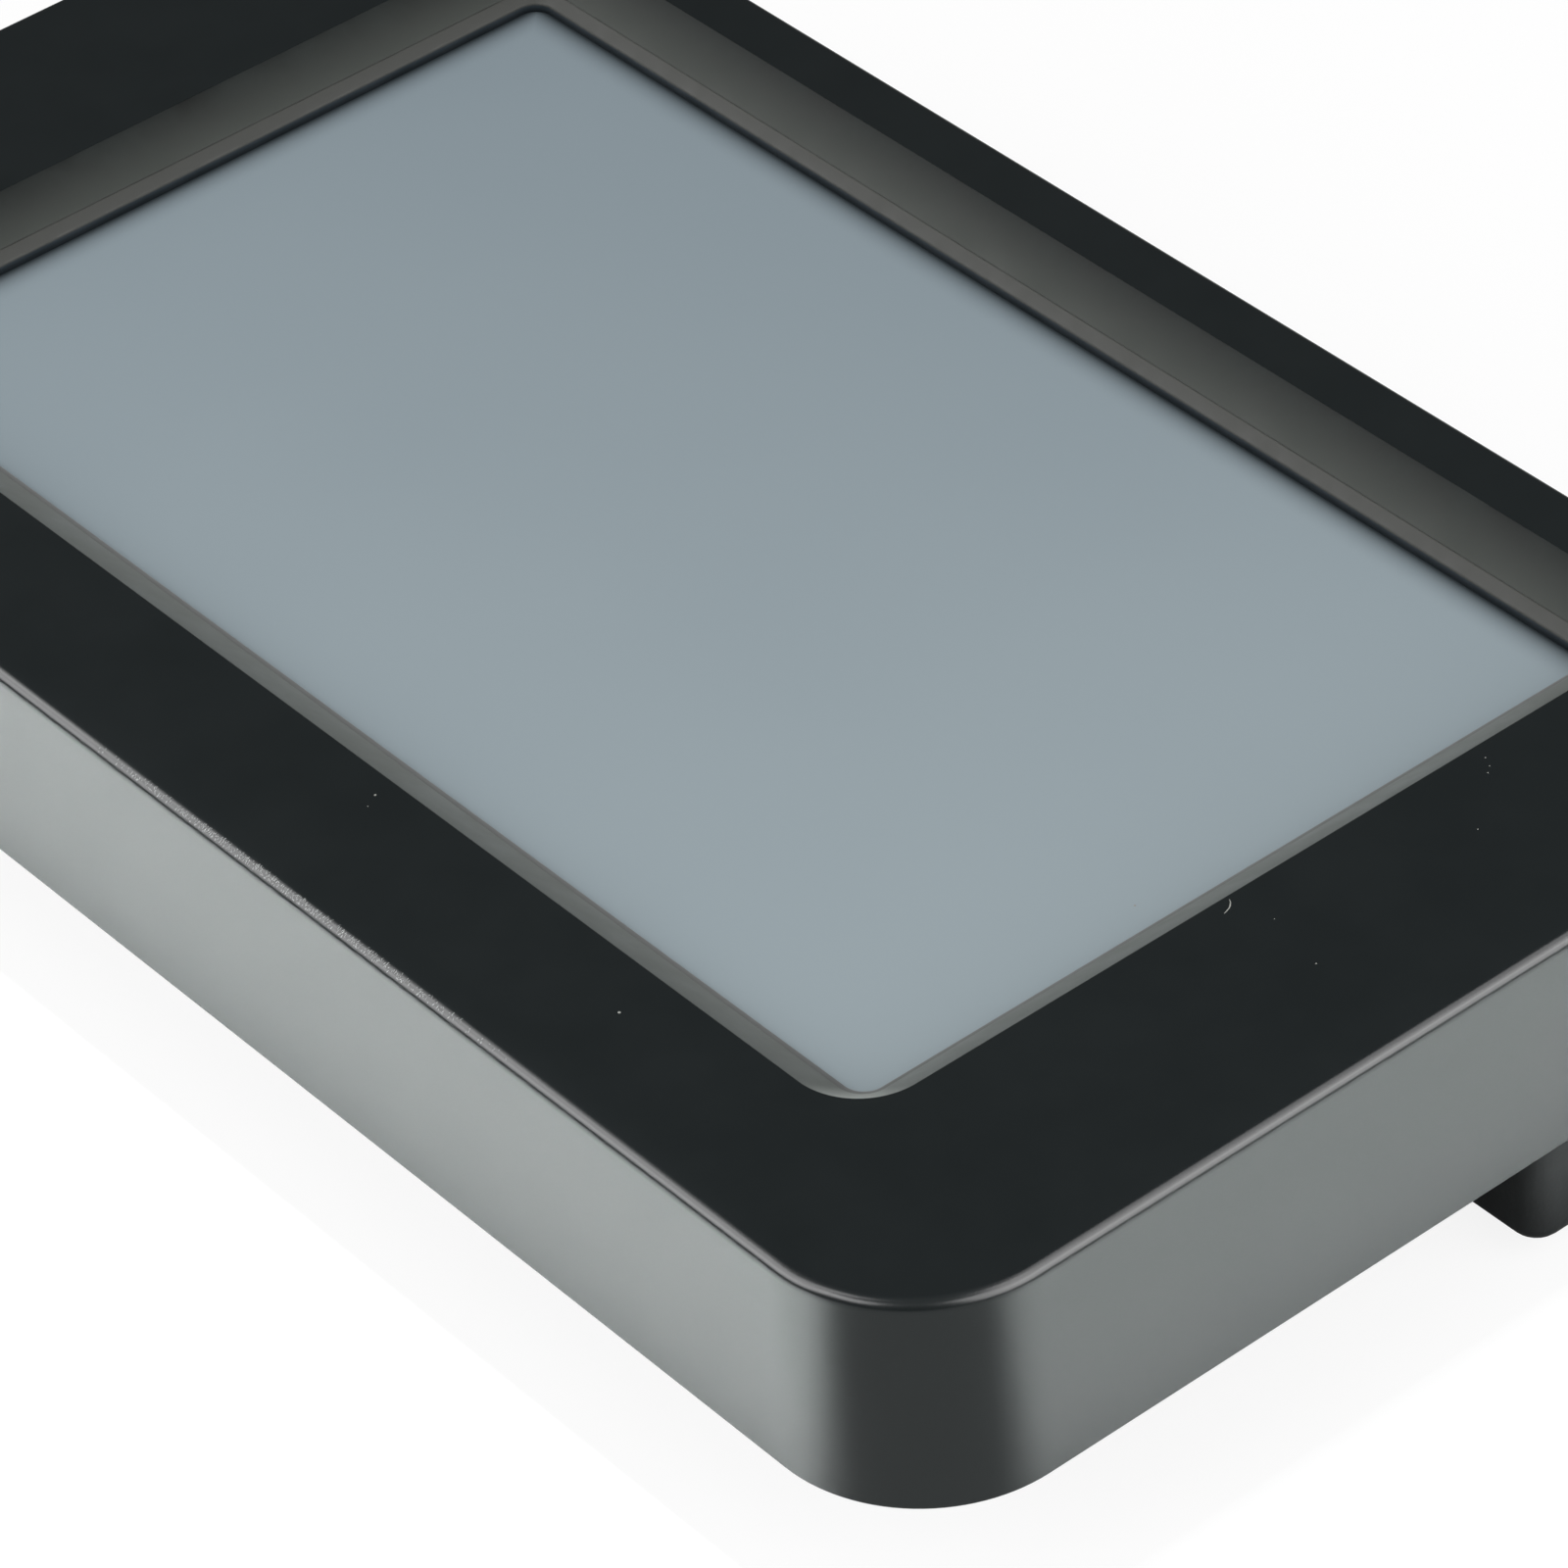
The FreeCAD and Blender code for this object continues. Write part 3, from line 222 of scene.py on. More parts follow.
def linear(code: str) -> tuple[float, float, float, float]:
    """The linear colour of an sRGB hex code.

    Args:
        code: a code such as "#202428".

    Returns:
        Red, green, blue and an alpha of 1.
    """
    parts = [int(code[i:i + 2], 16) / 255 for i in (1, 3, 5)]
    turned = [p / 12.92 if p <= 0.04045 else ((p + 0.055) / 1.055) ** 2.4 for p in parts]
    return (*turned, 1.0)


class Nodes:
    """A material's node tree, with one short way to add a node."""

    def __init__(self, name: str) -> None:
        """Make an empty material.

        Args:
            name: the material's name.
        """
        self.material = bpy.data.materials.new(name)
        self.material.use_nodes = True
        self.tree = self.material.node_tree
        self.tree.nodes.clear()

    def add(self, kind: str, settings: dict | None = None, **inputs: object) -> bpy.types.Node:
        """Add a node.

        Args:
            kind: the node's type without its "ShaderNode" prefix.
            settings: properties of the node itself.
            inputs: values or output sockets for its inputs, with _ for a space in the name, or
                i and a number for an input without a name of its own.

        Returns:
            The node.
        """
        node = self.tree.nodes.new("ShaderNode" + kind)
        for name, value in (settings or {}).items():
            setattr(node, name, value)
        for name, value in inputs.items():
            numbered = name[0] == "i" and name[1:].isdigit()
            key = int(name[1:]) if numbered else name.replace("_", " ")
            if isinstance(value, bpy.types.NodeSocket):
                self.tree.links.new(value, node.inputs[key])
            else:
                node.inputs[key].default_value = value
        return node

    def axes(self) -> bpy.types.bpy_prop_collection:
        """The outputs X, Y and Z of a point's place on the object, in metres."""
        place = self.add("TexCoord").outputs["Object"]
        return self.add("SeparateXYZ", Vector=place).outputs

    def noise(self, size_mm: float, detail: float = 2.0,
              stretch: tuple[float, float, float] = (1, 1, 1)) -> bpy.types.NodeSocket:
        """Noise whose blobs are as big as on the real object.

        Args:
            size_mm: about how wide a blob is.
            detail: how many finer layers of noise are added.
            stretch: the pattern's scale along each axis, below 1 where the blobs are long.

        Returns:
            The noise, mostly from 0.3 to 0.7.
        """
        place = self.add("TexCoord").outputs["Object"]
        mapped = self.add("Mapping", Vector=place, Scale=stretch).outputs["Vector"]
        scale = 1 / (size_mm * MM)
        return self.add("TexNoise", Vector=mapped, Scale=scale, Detail=detail).outputs["Fac"]

    def between(self, factor: bpy.types.NodeSocket, low: float, high: float,
                start: float = 0.3, end: float = 0.7) -> bpy.types.NodeSocket:
        """A number that goes from low to high as the factor goes from start to end."""
        limits = {"From_Min": start, "From_Max": end, "To_Min": low, "To_Max": high}
        return self.add("MapRange", Value=factor, **limits).outputs["Result"]

    def blend(self, factor: bpy.types.NodeSocket, first: bpy.types.NodeSocket | str,
              second: str) -> bpy.types.NodeSocket:
        """A colour between two others.

        Args:
            factor: 0 for the first colour, 1 for the second.
            first: a hex code, or the output of another node.
            second: a hex code.

        Returns:
            The colour.
        """
        start = linear(first) if isinstance(first, str) else first
        mixed = self.add("Mix", {"data_type": "RGBA"}, Factor=factor, i6=start, i7=linear(second))
        return mixed.outputs[2]

    def combine(self, operation: str, first: bpy.types.NodeSocket | float,
                second: bpy.types.NodeSocket | float) -> bpy.types.NodeSocket:
        """A sum, difference, product or the like of two numbers."""
        return self.add("Math", {"operation": operation}, i0=first, i1=second).outputs[0]

    def bump(self, height: bpy.types.NodeSocket, depth_mm: float) -> bpy.types.NodeSocket:
        """A normal shifted by a height pattern of this depth."""
        return self.add("Bump", Height=height, Distance=depth_mm * MM).outputs["Normal"]

    def surface(self, **inputs: object) -> bpy.types.Material:
        """Close the tree with a Principled shader.

        Args:
            inputs: values or output sockets for the shader's inputs.

        Returns:
            The material.
        """
        shader = self.add("BsdfPrincipled", **inputs)
        self.add("OutputMaterial", Surface=shader.outputs["BSDF"])
        return self.material


@dataclass(frozen=True)
class MouldedPlastic:
    """Injection moulded plastic: an even colour, a fine grain and a sheen that wanders a little."""

    name: str
    colour: str
    worn: str
    rough_low: float
    rough_high: float
    ior: float = 1.5
    specular: float = 0.5
    grain_mm: float = 0.18
    grain_depth_mm: float = 0.004
    grain_detail: float = 3.0
    smear_mm: float = 9.0
    smear_detail: float = 4.0
    dust: float = 0.0
    dust_tint: str = "#FFFFFF"
    foot: str = ""
    foot_z: tuple[float, float] = (41.2, 38.1)

    def build(self) -> bpy.types.Material:
        """Build the plastic.

        Returns:
            The material.
        """
        nodes = Nodes(self.name)
        smear = nodes.noise(self.smear_mm, self.smear_detail)
        # clouds of handling haze a few millimetres wide change the gloss more than the colour
        colour = nodes.blend(nodes.between(smear, 0.0, 1.0), self.colour, self.worn)
        if self.foot:
            # a slope is paler toward its foot
            start, end = self.foot_z
            low = nodes.between(nodes.axes()["Z"], 0.0, 1.0, start * MM, end * MM)
            colour = nodes.blend(low, colour, self.foot)
        rough = nodes.between(smear, self.rough_low, self.rough_high)
        # the grain of the mould breaks the highlight into fine points
        grain = nodes.bump(nodes.noise(self.grain_mm, self.grain_detail), self.grain_depth_mm)
        # fine dust that lies on the surface shows at a low angle of view
        return nodes.surface(Base_Color=colour, Roughness=rough, IOR=self.ior,
                             Specular_IOR_Level=self.specular, Sheen_Weight=self.dust,
                             Sheen_Roughness=DUST_ROUGHNESS, Sheen_Tint=linear(self.dust_tint),
                             Normal=grain)


@dataclass(frozen=True)
class TouchFilm:
    """Polyester film with a matt hard coat over a dark screen: grey blue and almost even."""

    name: str = "hard_coated_film"
    colour: str = "#8B969B"
    painted_far_shade: str = "#7D8990"
    # the colour of the painted shade along the upper and the left edge of the window
    shaded: str = "#1B2226"
    shade_mm: float = 4.2
    shade_power: float = 2.2
    reach_mm: float = 110.0
    cloud_mm: float = 60.0
    cloud_swing: float = 0.1
    coat_mm: float = 0.12
    coat_depth_mm: float = 0.002
    rough: float = 0.5
    ior: float = 1.5
    specular: float = 0.4

    def slant(self, nodes: Nodes) -> bpy.types.NodeSocket:
        """How far a point lies toward the upper left, where the film is painted darker as shade.

        Args:
            nodes: the tree to build in.

        Returns:
            y - x, from -reach to reach, as 0 to 1.
        """
        axes = nodes.axes()
        along = nodes.combine("SUBTRACT", axes["Y"], axes["X"])
        return nodes.between(along, 0.0, 1.0, -self.reach_mm * MM, self.reach_mm * MM)

    def painted_border_shade(self, nodes: Nodes) -> bpy.types.NodeSocket:
        """How deep a point lies in the painted shade along the upper and the left edge of the
        window.

        The distance in from those edges is the smaller of a + x and b + m - y, for a screen of
        half sides a and b about the height m, and the shade falls off with a power of it.

        Args:
            nodes: the tree to build in.

        Returns:
            A share from 0 in the open to 1 at the edge.
        """
        axes = nodes.axes()
        left = nodes.combine("ADD", axes["X"], VIEW.length / 2 * MM)
        upper = nodes.combine("SUBTRACT", (VIEW.middle_y + VIEW.width / 2) * MM, axes["Y"])
        nearest = nodes.combine("MINIMUM", left, upper)
        share = nodes.between(nearest, 1.0, 0.0, 0.0, self.shade_mm * MM)
        return nodes.combine("POWER", share, self.shade_power)

    def build(self) -> bpy.types.Material:
        """Build the film.

        Returns:
            The material.
        """
        nodes = Nodes(self.name)
        # broad clouds, as of light scattered back by the layers below
        cloud = nodes.between(nodes.noise(self.cloud_mm), -self.cloud_swing, self.cloud_swing)
        # painted shade: the film's colour darkens toward the far upper left
        colour = nodes.blend(nodes.combine("ADD", self.slant(nodes), cloud), self.colour, self.painted_far_shade)
        # the hard coat's own grain, too fine to see but enough to matt the surface
        coat = nodes.bump(nodes.noise(self.coat_mm), self.coat_depth_mm)
        # painted shade: the film is darkened along the upper and the left edge, under the frame
        # that stands over it
        dark = nodes.blend(self.painted_border_shade(nodes), colour, self.shaded)
        return nodes.surface(Base_Color=dark, Roughness=self.rough, IOR=self.ior,
                             Specular_IOR_Level=self.specular, Normal=coat)


@dataclass(frozen=True)
class Plain:
    """Any other real material: a colour with slow variation, a grain and a gloss."""

    name: str
    colour: str
    second: str
    rough: float
    rough_swing: float = 0.15
    metal: float = 0.0
    cloud_mm: float = 4.0
    cloud_detail: float = 3.0
    grain_mm: float = 0.2
    grain_depth_mm: float = 0.003
    stretch: tuple[float, float, float] = (1, 1, 1)
    alpha: float = 1.0
    dust: float = 0.0

    def build(self) -> bpy.types.Material:
        """Build the material.

        Returns:
            The material.
        """
        nodes = Nodes(self.name)
        cloud = nodes.noise(self.cloud_mm, self.cloud_detail)
        colour = nodes.blend(nodes.between(cloud, 0.0, 1.0), self.colour, self.second)
        rough = nodes.between(cloud, self.rough * (1 - self.rough_swing),
                              min(self.rough * (1 + self.rough_swing), 1.0))
        grain = nodes.bump(nodes.noise(self.grain_mm, stretch=self.stretch), self.grain_depth_mm)
        return nodes.surface(Base_Color=colour, Roughness=rough, Metallic=self.metal,
                             Alpha=self.alpha, Sheen_Weight=self.dust,
                             Sheen_Roughness=DUST_ROUGHNESS, Normal=grain)


class Finish(Enum):
    """The finishes, each named after the real material and how it was made."""

    # moulded in a finely blasted tool: near black, with soft broad highlights
    CASE = MouldedPlastic("abs_fine_satin", "#14191A", "#161B1C", 0.24, 0.27, specular=0.9)
    # the same plastic on the window's slope: duller, and greyed by dust at a low angle of view
    CHAMFER = MouldedPlastic("abs_chamfer_satin", "#0F1211", "#222625", 0.32, 0.48, specular=0.12,
                             smear_mm=6.0, dust=0.32, dust_tint="#F7FBF5", foot="#3B3E3B")
    # moulded in a spark eroded tool: dull black with a grain that just shows
    COVER = MouldedPlastic("abs_spark_texture", "#17191A", "#1B1D1E", 0.45, 0.6,
                           grain_mm=0.5, grain_depth_mm=0.03)
    # a matt coat on clear film: grey blue without a clear reflection
    FILM = TouchFilm()
    # cut from foam: dull warm grey, paler at a low angle of view
    SEAL = Plain("foam_rubber_grey", "#31322F", "#393A37", 0.6, dust=0.3, cloud_mm=2.5,
                 grain_mm=0.3, grain_depth_mm=0.01)
    # the seal's foot: a blue black line, painted shade of the narrow gap under the seal
    SEAL_FOOT = Plain("seal_foot_painted_shade", "#262E33", "#2A3238", 0.5)
    # painted glints on the edge's grain: pale short threads, drawn wider than they are to show
    GLINT = Plain("plastic_painted_glints", "#8F9391", "#B2B6B4", 0.5, cloud_mm=0.6, grain_mm=0.1)
    # loose fibre: pale points without gloss
    DUST = Plain("lint_pale", "#858682", "#959691", 0.8, cloud_mm=0.5, grain_mm=0.1)
    # moulded rubber: soft black without a highlight
    RUBBER = Plain("rubber_black_moulded", "#141414", "#1A1A1A", 0.7, grain_depth_mm=0.01)
    # float glass: a clear pane with a sharp reflection
    GLASS = Plain("glass_float", "#9AA3A3", "#A4ACAC", 0.08, alpha=0.6)
    # polished acrylic: a clear block with bright edges
    ACRYLIC = Plain("acrylic_polished", "#C8D0D0", "#D0D8D8", 0.12, alpha=0.7)
    # stretched and laminated film: an even dark grey
    POLARISER = Plain("polariser_grey", "#2A2D2F", "#303335", 0.25)
    # filled white sheet: an even matt white
    WHITE = Plain("polyester_white", "#D6D5D0", "#DEDDD9", 0.45)
    # rolled sheet: long streaks across a dull shine
    STEEL = Plain("steel_rolled", "#A9ABAD", "#B5B7B9", 0.32, metal=1.0, cloud_mm=12.0,
                  stretch=(0.05, 1, 1))
    # electroplated: a slightly clouded silver
    ZINC = Plain("zinc_plated", "#B4B6B8", "#A5A8AB", 0.3, metal=1.0, cloud_mm=1.0)
    # blackened in hot salts: black with a faint shine
    BLACK_STEEL = Plain("steel_black_oxide", "#151617", "#1D1E20", 0.38, cloud_mm=0.8)
    # turned on a lathe: yellow with rings round the axis
    BRASS = Plain("brass_turned", "#B8923F", "#C6A24E", 0.3, metal=1.0, cloud_mm=1.5,
                  stretch=(1, 1, 0.2))
    # a cured mask over woven glass: green with a faint weave
    BOARD = Plain("solder_mask_green", "#1B5A34", "#206A3D", 0.35, cloud_mm=1.2, grain_mm=0.4,
                  grain_depth_mm=0.01)
    # transfer moulded: a dull dark grey
    EPOXY = Plain("epoxy_black_moulded", "#1D1D1F", "#242426", 0.55, grain_mm=0.15)
    # fired: a mottled tan
    CERAMIC = Plain("ceramic_tan_fired", "#B79B76", "#C2A783", 0.5, cloud_mm=0.6)
    # moulded without pigment: a waxy cream
    NYLON = Plain("nylon_natural", "#C9C4B4", "#D2CDBE", 0.45)
    # moulded with pigment: an even green
    NYLON_GREEN = Plain("nylon_green", "#2C6B46", "#30754D", 0.42)
    # cast film over copper tracks: amber with long streaks
    POLYIMIDE = Plain("polyimide_amber", "#8A5A1E", "#9A672A", 0.3, stretch=(0.1, 1, 1))


# Pieces

@dataclass
class FrontCase:
    """The case's moulding: rim, side wall, round edge, face, chamfer of the window and lip."""

    outline: Outline = CASE
    wall: float = 2.4
    wall_seen: float = 9.0
    edge: float = 1.15
    edge_steps: int = 14
    rim_round: float = 0.3
    rim_steps: int = 4
    brim_round: float = 0.18
    brim_rings: int = 6
    brim_in_case: int = 3
    chamfer_drop: float = 3.3
    chamfer_shares: tuple[float, ...] = (0.06, 0.35, 0.65, 0.94, 0.985, 0.996)
    lip_land: float = 0.04
    lip_hold: float = 0.012
    lip_turn: float = 0.04
    tucked: float = 2.5
    hold: float = 0.04

    def arc(self, centre_in: float, centre_z: float, radius: float, start: float,
            steps: int) -> list[tuple[float, float]]:
        """Offsets and heights along a quarter circle of the wall's profile.

        A point lies r cos(t) - d outwards and z + r sin(t) up, for a centre at the depth d and
        the height z.

        Args:
            centre_in: how far the arc's centre lies inside the outline.
            centre_z: the centre's height.
            radius: the arc's radius.
            start: first angle in degrees, from level outwards and up.
            steps: segments of the arc.

        Returns:
            Pairs of an offset from the outline, outwards, and a height.
        """
        angles = np.radians(np.linspace(start, start + 90, steps + 1))
        return [(radius * math.cos(a) - centre_in, centre_z + radius * math.sin(a)) for a in angles]

    def wall_profile(self) -> list[tuple[float, float]]:
        """The wall's profile, from inside the rim, down, out and up to the face.

        Returns:
            Pairs of an offset from the outline, outwards, and a height.
        """
        rim, face, small = HEIGHTS.rim, HEIGHTS.face, self.rim_round
        inner = -self.wall
        profile = [(inner, rim + self.wall_seen), (inner, rim + small + self.hold)]
        profile += self.arc(self.wall - small, rim + small, small, 180, self.rim_steps)
        profile += [(inner + small + self.hold, rim), (-small - self.hold, rim)]
        profile += self.arc(small, rim + small, small, 270, self.rim_steps)
        profile += [(0.0, rim + small + self.hold), (0.0, face - self.edge - self.hold)]
        profile += self.arc(self.edge, face - self.edge, self.edge, 0, self.edge_steps)
        profile += [(-self.edge - self.hold, face)]
        return profile

    def window_rings(self) -> list[np.ndarray]:
        """Rings from the face over the brim, down the chamfer and the lip, and back under it.

        The brim is an arc of radius r that touches the face and the chamfer: its ring at the turn
        t lies r sin(t) in and r (1 - cos(t)) down. The chamfer is ruled between two outlines of
        different corners.

        Returns:
            The rings, in that order.
        """
        face, foot = HEIGHTS.face, HEIGHTS.top - self.chamfer_drop
        slope = math.atan2(face - foot, (WINDOW.length - LIP.length) / 2)
        reach = self.brim_round * math.tan(slope / 2)
        rings = [ring_points(WINDOW.grown(reach + self.hold), face)]
        for turn in np.linspace(0.0, slope, self.brim_rings):
            out = reach - self.brim_round * math.sin(turn)
            down = self.brim_round * (1 - math.cos(turn))
            rings.append(ring_points(WINDOW.grown(out), face - down))
        for share in self.chamfer_shares:
            rings.append(ring_points(WINDOW.toward(LIP, share), face + (foot - face) * share))
        low = foot - self.lip_land
        rings.append(ring_points(LIP, foot - self.lip_hold))
        rings.append(ring_points(LIP, low + self.lip_hold))
        rings.append(ring_points(LIP.grown(self.lip_turn), low))
        rings.append(ring_points(LIP.grown(self.tucked), low))
        return rings

    def build(self) -> bpy.types.Object:
        """Build the moulding as one surface of rings, with the chamfer in its own finish.

        Returns:
            The piece.
        """
        rings = [ring_points(self.outline.grown(out), z) for out, z in self.wall_profile()]
        piece = ring_surface("front_case_shell", rings + self.window_rings())
        piece.data.materials.append(Finish.CASE.value.build())
        piece.data.materials.append(Finish.CHAMFER.value.build())
        first = (len(rings) + self.brim_in_case) * len(rings[0])
        slots = (np.arange(len(piece.data.polygons)) >= first).astype(int)
        piece.data.polygons.foreach_set("material_index", slots.tolist())
        return ride(piece, "case_plastic", "front_case")


@dataclass
class ScreenSeal:
    """The soft frame between the lip and the screen."""

    drop: float = 0.9
    thick: float = 1.95
    lip_down: float = 3.35
    outer: Outline = Outline(164.2, 99.2, 0.5, 3.4)
    under_lip: float = 0.5
    gap: float = 0.01
    slope_shares: tuple[float, ...] = (0.1, 0.5, 0.9)
    slope_end: float = 0.03
    slope_low: float = 0.2
    foot_gap: float = 0.02

    def build(self) -> list[bpy.types.Object]:
        """Build its grey slope, ruled from the lip to the view, and its black foot on the screen.

        Returns:
            The two pieces.
        """
        high = HEIGHTS.top - self.lip_down
        low = high - self.thick + self.foot_gap
        waist = high - self.drop - self.slope_low
        upper = [ring_points(ring, high - self.gap)
                 for ring in (self.outer, LIP.grown(self.under_lip), LIP)]
        for share in self.slope_shares:
            upper.append(ring_points(LIP.toward(VIEW, share), high - self.drop * share))
        upper += [ring_points(VIEW, high - self.drop - self.slope_end), ring_points(VIEW, waist)]
        slope = ring_surface("seal_slope", upper)
        slope.data.materials.append(Finish.SEAL.value.build())
        lower = [ring_points(VIEW, waist), ring_points(VIEW, low), ring_points(self.outer, low)]
        foot = ring_surface("seal_foot", lower)
        # painted shade: the foot is coloured blue black for the dark gap under the seal
        foot.data.materials.append(Finish.SEAL_FOOT.value.build())
        return [ride(slope, "seal_rubber", "screen_gasket"), ride(foot, "seal_rubber")]


@dataclass
class EdgePaintedGlints:
    """Painted glints: short pale strokes across the front's round edge, on one stretch of its side.
    """

    first_x: float = -6.0
    last_x: float = 58.0
    thickest: float = -0.1
    count: int = 640
    wide: tuple[float, float] = (0.02, 0.045)
    long: tuple[float, float] = (0.08, 0.3)
    lean: float = 0.3
    start_deg: tuple[float, float] = (38.0, 72.0)
    end_deg: float = 84.0
    tip: float = 0.4
    lift: float = 0.008
    seed: int = 7

    def on_edge(self, x: np.ndarray, turn: np.ndarray) -> np.ndarray:
        """Points of the round edge: r cos(t) out and r sin(t) up from its centre line.

        Args:
            x: places along the edge, in millimetres.
            turn: angles above level, in radians.

        Returns:
            The points in metres, one row each.
        """
        edge = FrontCase.edge
        radius = edge + self.lift
        y = -(CASE.width / 2 - edge) - radius * np.cos(turn)
        z = HEIGHTS.face - edge + radius * np.sin(turn)
        return np.stack([x, y, z], axis=-1).reshape(-1, 3) * MM

    def build(self) -> bpy.types.Object:
        """Build the strokes, which lie thickest about midway along the stretch.

        Each is a strip of two faces. Its point at the share s lies at the angle
        t0 + s (t1 - t0), is shifted by lean times length times s, and is narrow at both ends.

        Returns:
            The piece.
        """
        luck = np.random.default_rng(self.seed)
        middle, half = (self.first_x + self.last_x) / 2, (self.last_x - self.first_x) / 2
        place = middle + half * luck.triangular(-1.0, self.thickest, 1.0, self.count)
        draws = [(luck.uniform(*self.wide), luck.uniform(*self.long), luck.normal(0.0, self.lean),
                  luck.uniform(*self.start_deg)) for _ in range(self.count)]
        wide, long, lean, start = (column[:, None, None] for column in np.array(draws).T)
        start = np.radians(start)
        end = np.minimum(start + long / FrontCase.edge, math.radians(self.end_deg))
        share = np.array([0.0, 0.5, 1.0])[None, :, None]
        half_wide = wide * np.where(share == 0.5, 1.0, self.tip) / 2
        shift = place[:, None, None] + lean * long * share
        x = shift + half_wide * np.array([-1.0, 1.0])[None, None, :]
        turn = np.broadcast_to(start + (end - start) * share, x.shape)
        strip = np.array([[0, 1, 3, 2], [2, 3, 5, 4]])
        faces = (6 * np.arange(self.count)[:, None, None] + strip).reshape(-1, 4)
        piece = mesh_object("edge_painted_glints", self.on_edge(x, turn), faces)
        # painted glints: the strokes stay pale in any light
        piece.data.materials.append(Finish.GLINT.value.build())
        return ride(piece)


@dataclass
class Dust:
    """The grains of dust and the bit of lint that lie on the face and on the screen."""

    # where each grain on the face lies, and its radius
    grains: tuple[tuple[float, float, float], ...] = (
        (58.72, -50.52, 0.15), (19.79, -47.4, 0.12), (20.62, -48.9, 0.05),
        (85.6, 28.44, 0.07), (86.7, 27.9, 0.06), (87.3, 27.1, 0.07),
        (92.44, 20.86, 0.07), (89.0, -0.65, 0.06), (95.97, -2.18, 0.08),
    )
    screen_grains: tuple[tuple[float, float, float], ...] = ((74.37, -4.15, 0.13),)
    grain_tall: float = 0.045
    grain_sides: int = 10
    grain_rises: tuple[float, ...] = (0.0, 35.0, 65.0)
    lint: tuple[tuple[float, float], ...] = ((84.28, -1.69), (85.01, -2.3), (85.39, -3.36))
    lint_wide: float = 0.13
    lint_tall: float = 0.045
    lint_rows: int = 13
    lint_sides: int = 6
    lint_ends: tuple[float, float] = (0.12, 0.88)

    def domes(self) -> tuple[np.ndarray, list]:
        """Every grain as a low dome: rings of radius r cos(t) at the height h sin(t), and a pole.

        Returns:
            The points, in metres, and the faces.
        """
        around = np.linspace(0.0, 2 * math.pi, self.grain_sides, endpoint=False)
        rises = np.radians(self.grain_rises)[:, None]
        rings = np.stack([np.cos(rises) * np.cos(around), np.cos(rises) * np.sin(around),
                          np.sin(rises) * np.ones_like(around)], axis=-1).reshape(-1, 3)
        dome = np.vstack([rings, [0.0, 0.0, 1.0]])
        levels = ((self.grains, HEIGHTS.face), (self.screen_grains, HEIGHTS.screen))
        placed = np.array([(x, y, z, radius) for grains, z in levels for x, y, radius in grains])
        spread = np.stack([placed[:, 3], placed[:, 3], np.full(len(placed), self.grain_tall)], -1)
        points = placed[:, None, :3] + dome * spread[:, None, :]
        pole, last = len(rings), len(rings) - self.grain_sides
        step = np.arange(self.grain_sides)
        cap = np.stack([last + step, last + (step + 1) % self.grain_sides,
                        np.full(self.grain_sides, pole)], axis=-1)
        quads = grid_faces(len(rises), self.grain_sides, closed=True)
        first = (len(dome) * np.arange(len(placed)))[:, None, None]
        faces = (first + quads).reshape(-1, 4).tolist() + (first + cap).reshape(-1, 3).tolist()
        return points.reshape(-1, 3) * MM, faces

    def fibre(self) -> tuple[np.ndarray, np.ndarray]:
        """The lint: half a flattened tube along the parabola through three points.

        A point of the parabola is (1 - s)(1 - 2s) a + 4s (1 - s) b + s (2s - 1) c, and the tube
        is w cos(t) wide and h sin(t) tall, both times a sine that thins its ends.

        Returns:
            The points, in metres, and the faces.
        """
        start, middle, end = (np.array(point) for point in self.lint)
        s = np.linspace(0.0, 1.0, self.lint_rows)[:, None]
        line = (1 - s) * (1 - 2 * s) * start + 4 * s * (1 - s) * middle + s * (2 * s - 1) * end
        ahead = np.vstack([line[1] - line[0], line[2:] - line[:-2], line[-1] - line[-2]])
        across = np.stack([ahead[:, 1], -ahead[:, 0]], axis=-1)
        across /= np.linalg.norm(ahead, axis=1, keepdims=True)
        first, last = self.lint_ends
        thick = np.sin(math.pi * (first + (last - first) * s))
        around = np.linspace(0.0, math.pi, self.lint_sides)
        wide = self.lint_wide / 2 * thick * np.cos(around)
        flat = line[:, None, :] + across[:, None, :] * wide[:, :, None]
        tall = HEIGHTS.face + self.lint_tall * thick * np.sin(around)
        points = np.concatenate([flat, tall[:, :, None]], axis=-1).reshape(-1, 3)
        # the rows run along the fibre, so the faces are turned to look up
        faces = grid_faces(self.lint_rows, self.lint_sides, closed=False)[:, [0, 3, 2, 1]]
        return points * MM, faces

    def build(self) -> list[bpy.types.Object]:
        """Build the grains and the lint.

        Returns:
            The two pieces.
        """
        made = []
        for name, (points, faces) in (("dust_specks", self.domes()), ("lint_fibre", self.fibre())):
            piece = mesh_object(name, points, faces)
            piece.data.materials.append(Finish.DUST.value.build())
            made.append(ride(piece))
        return made


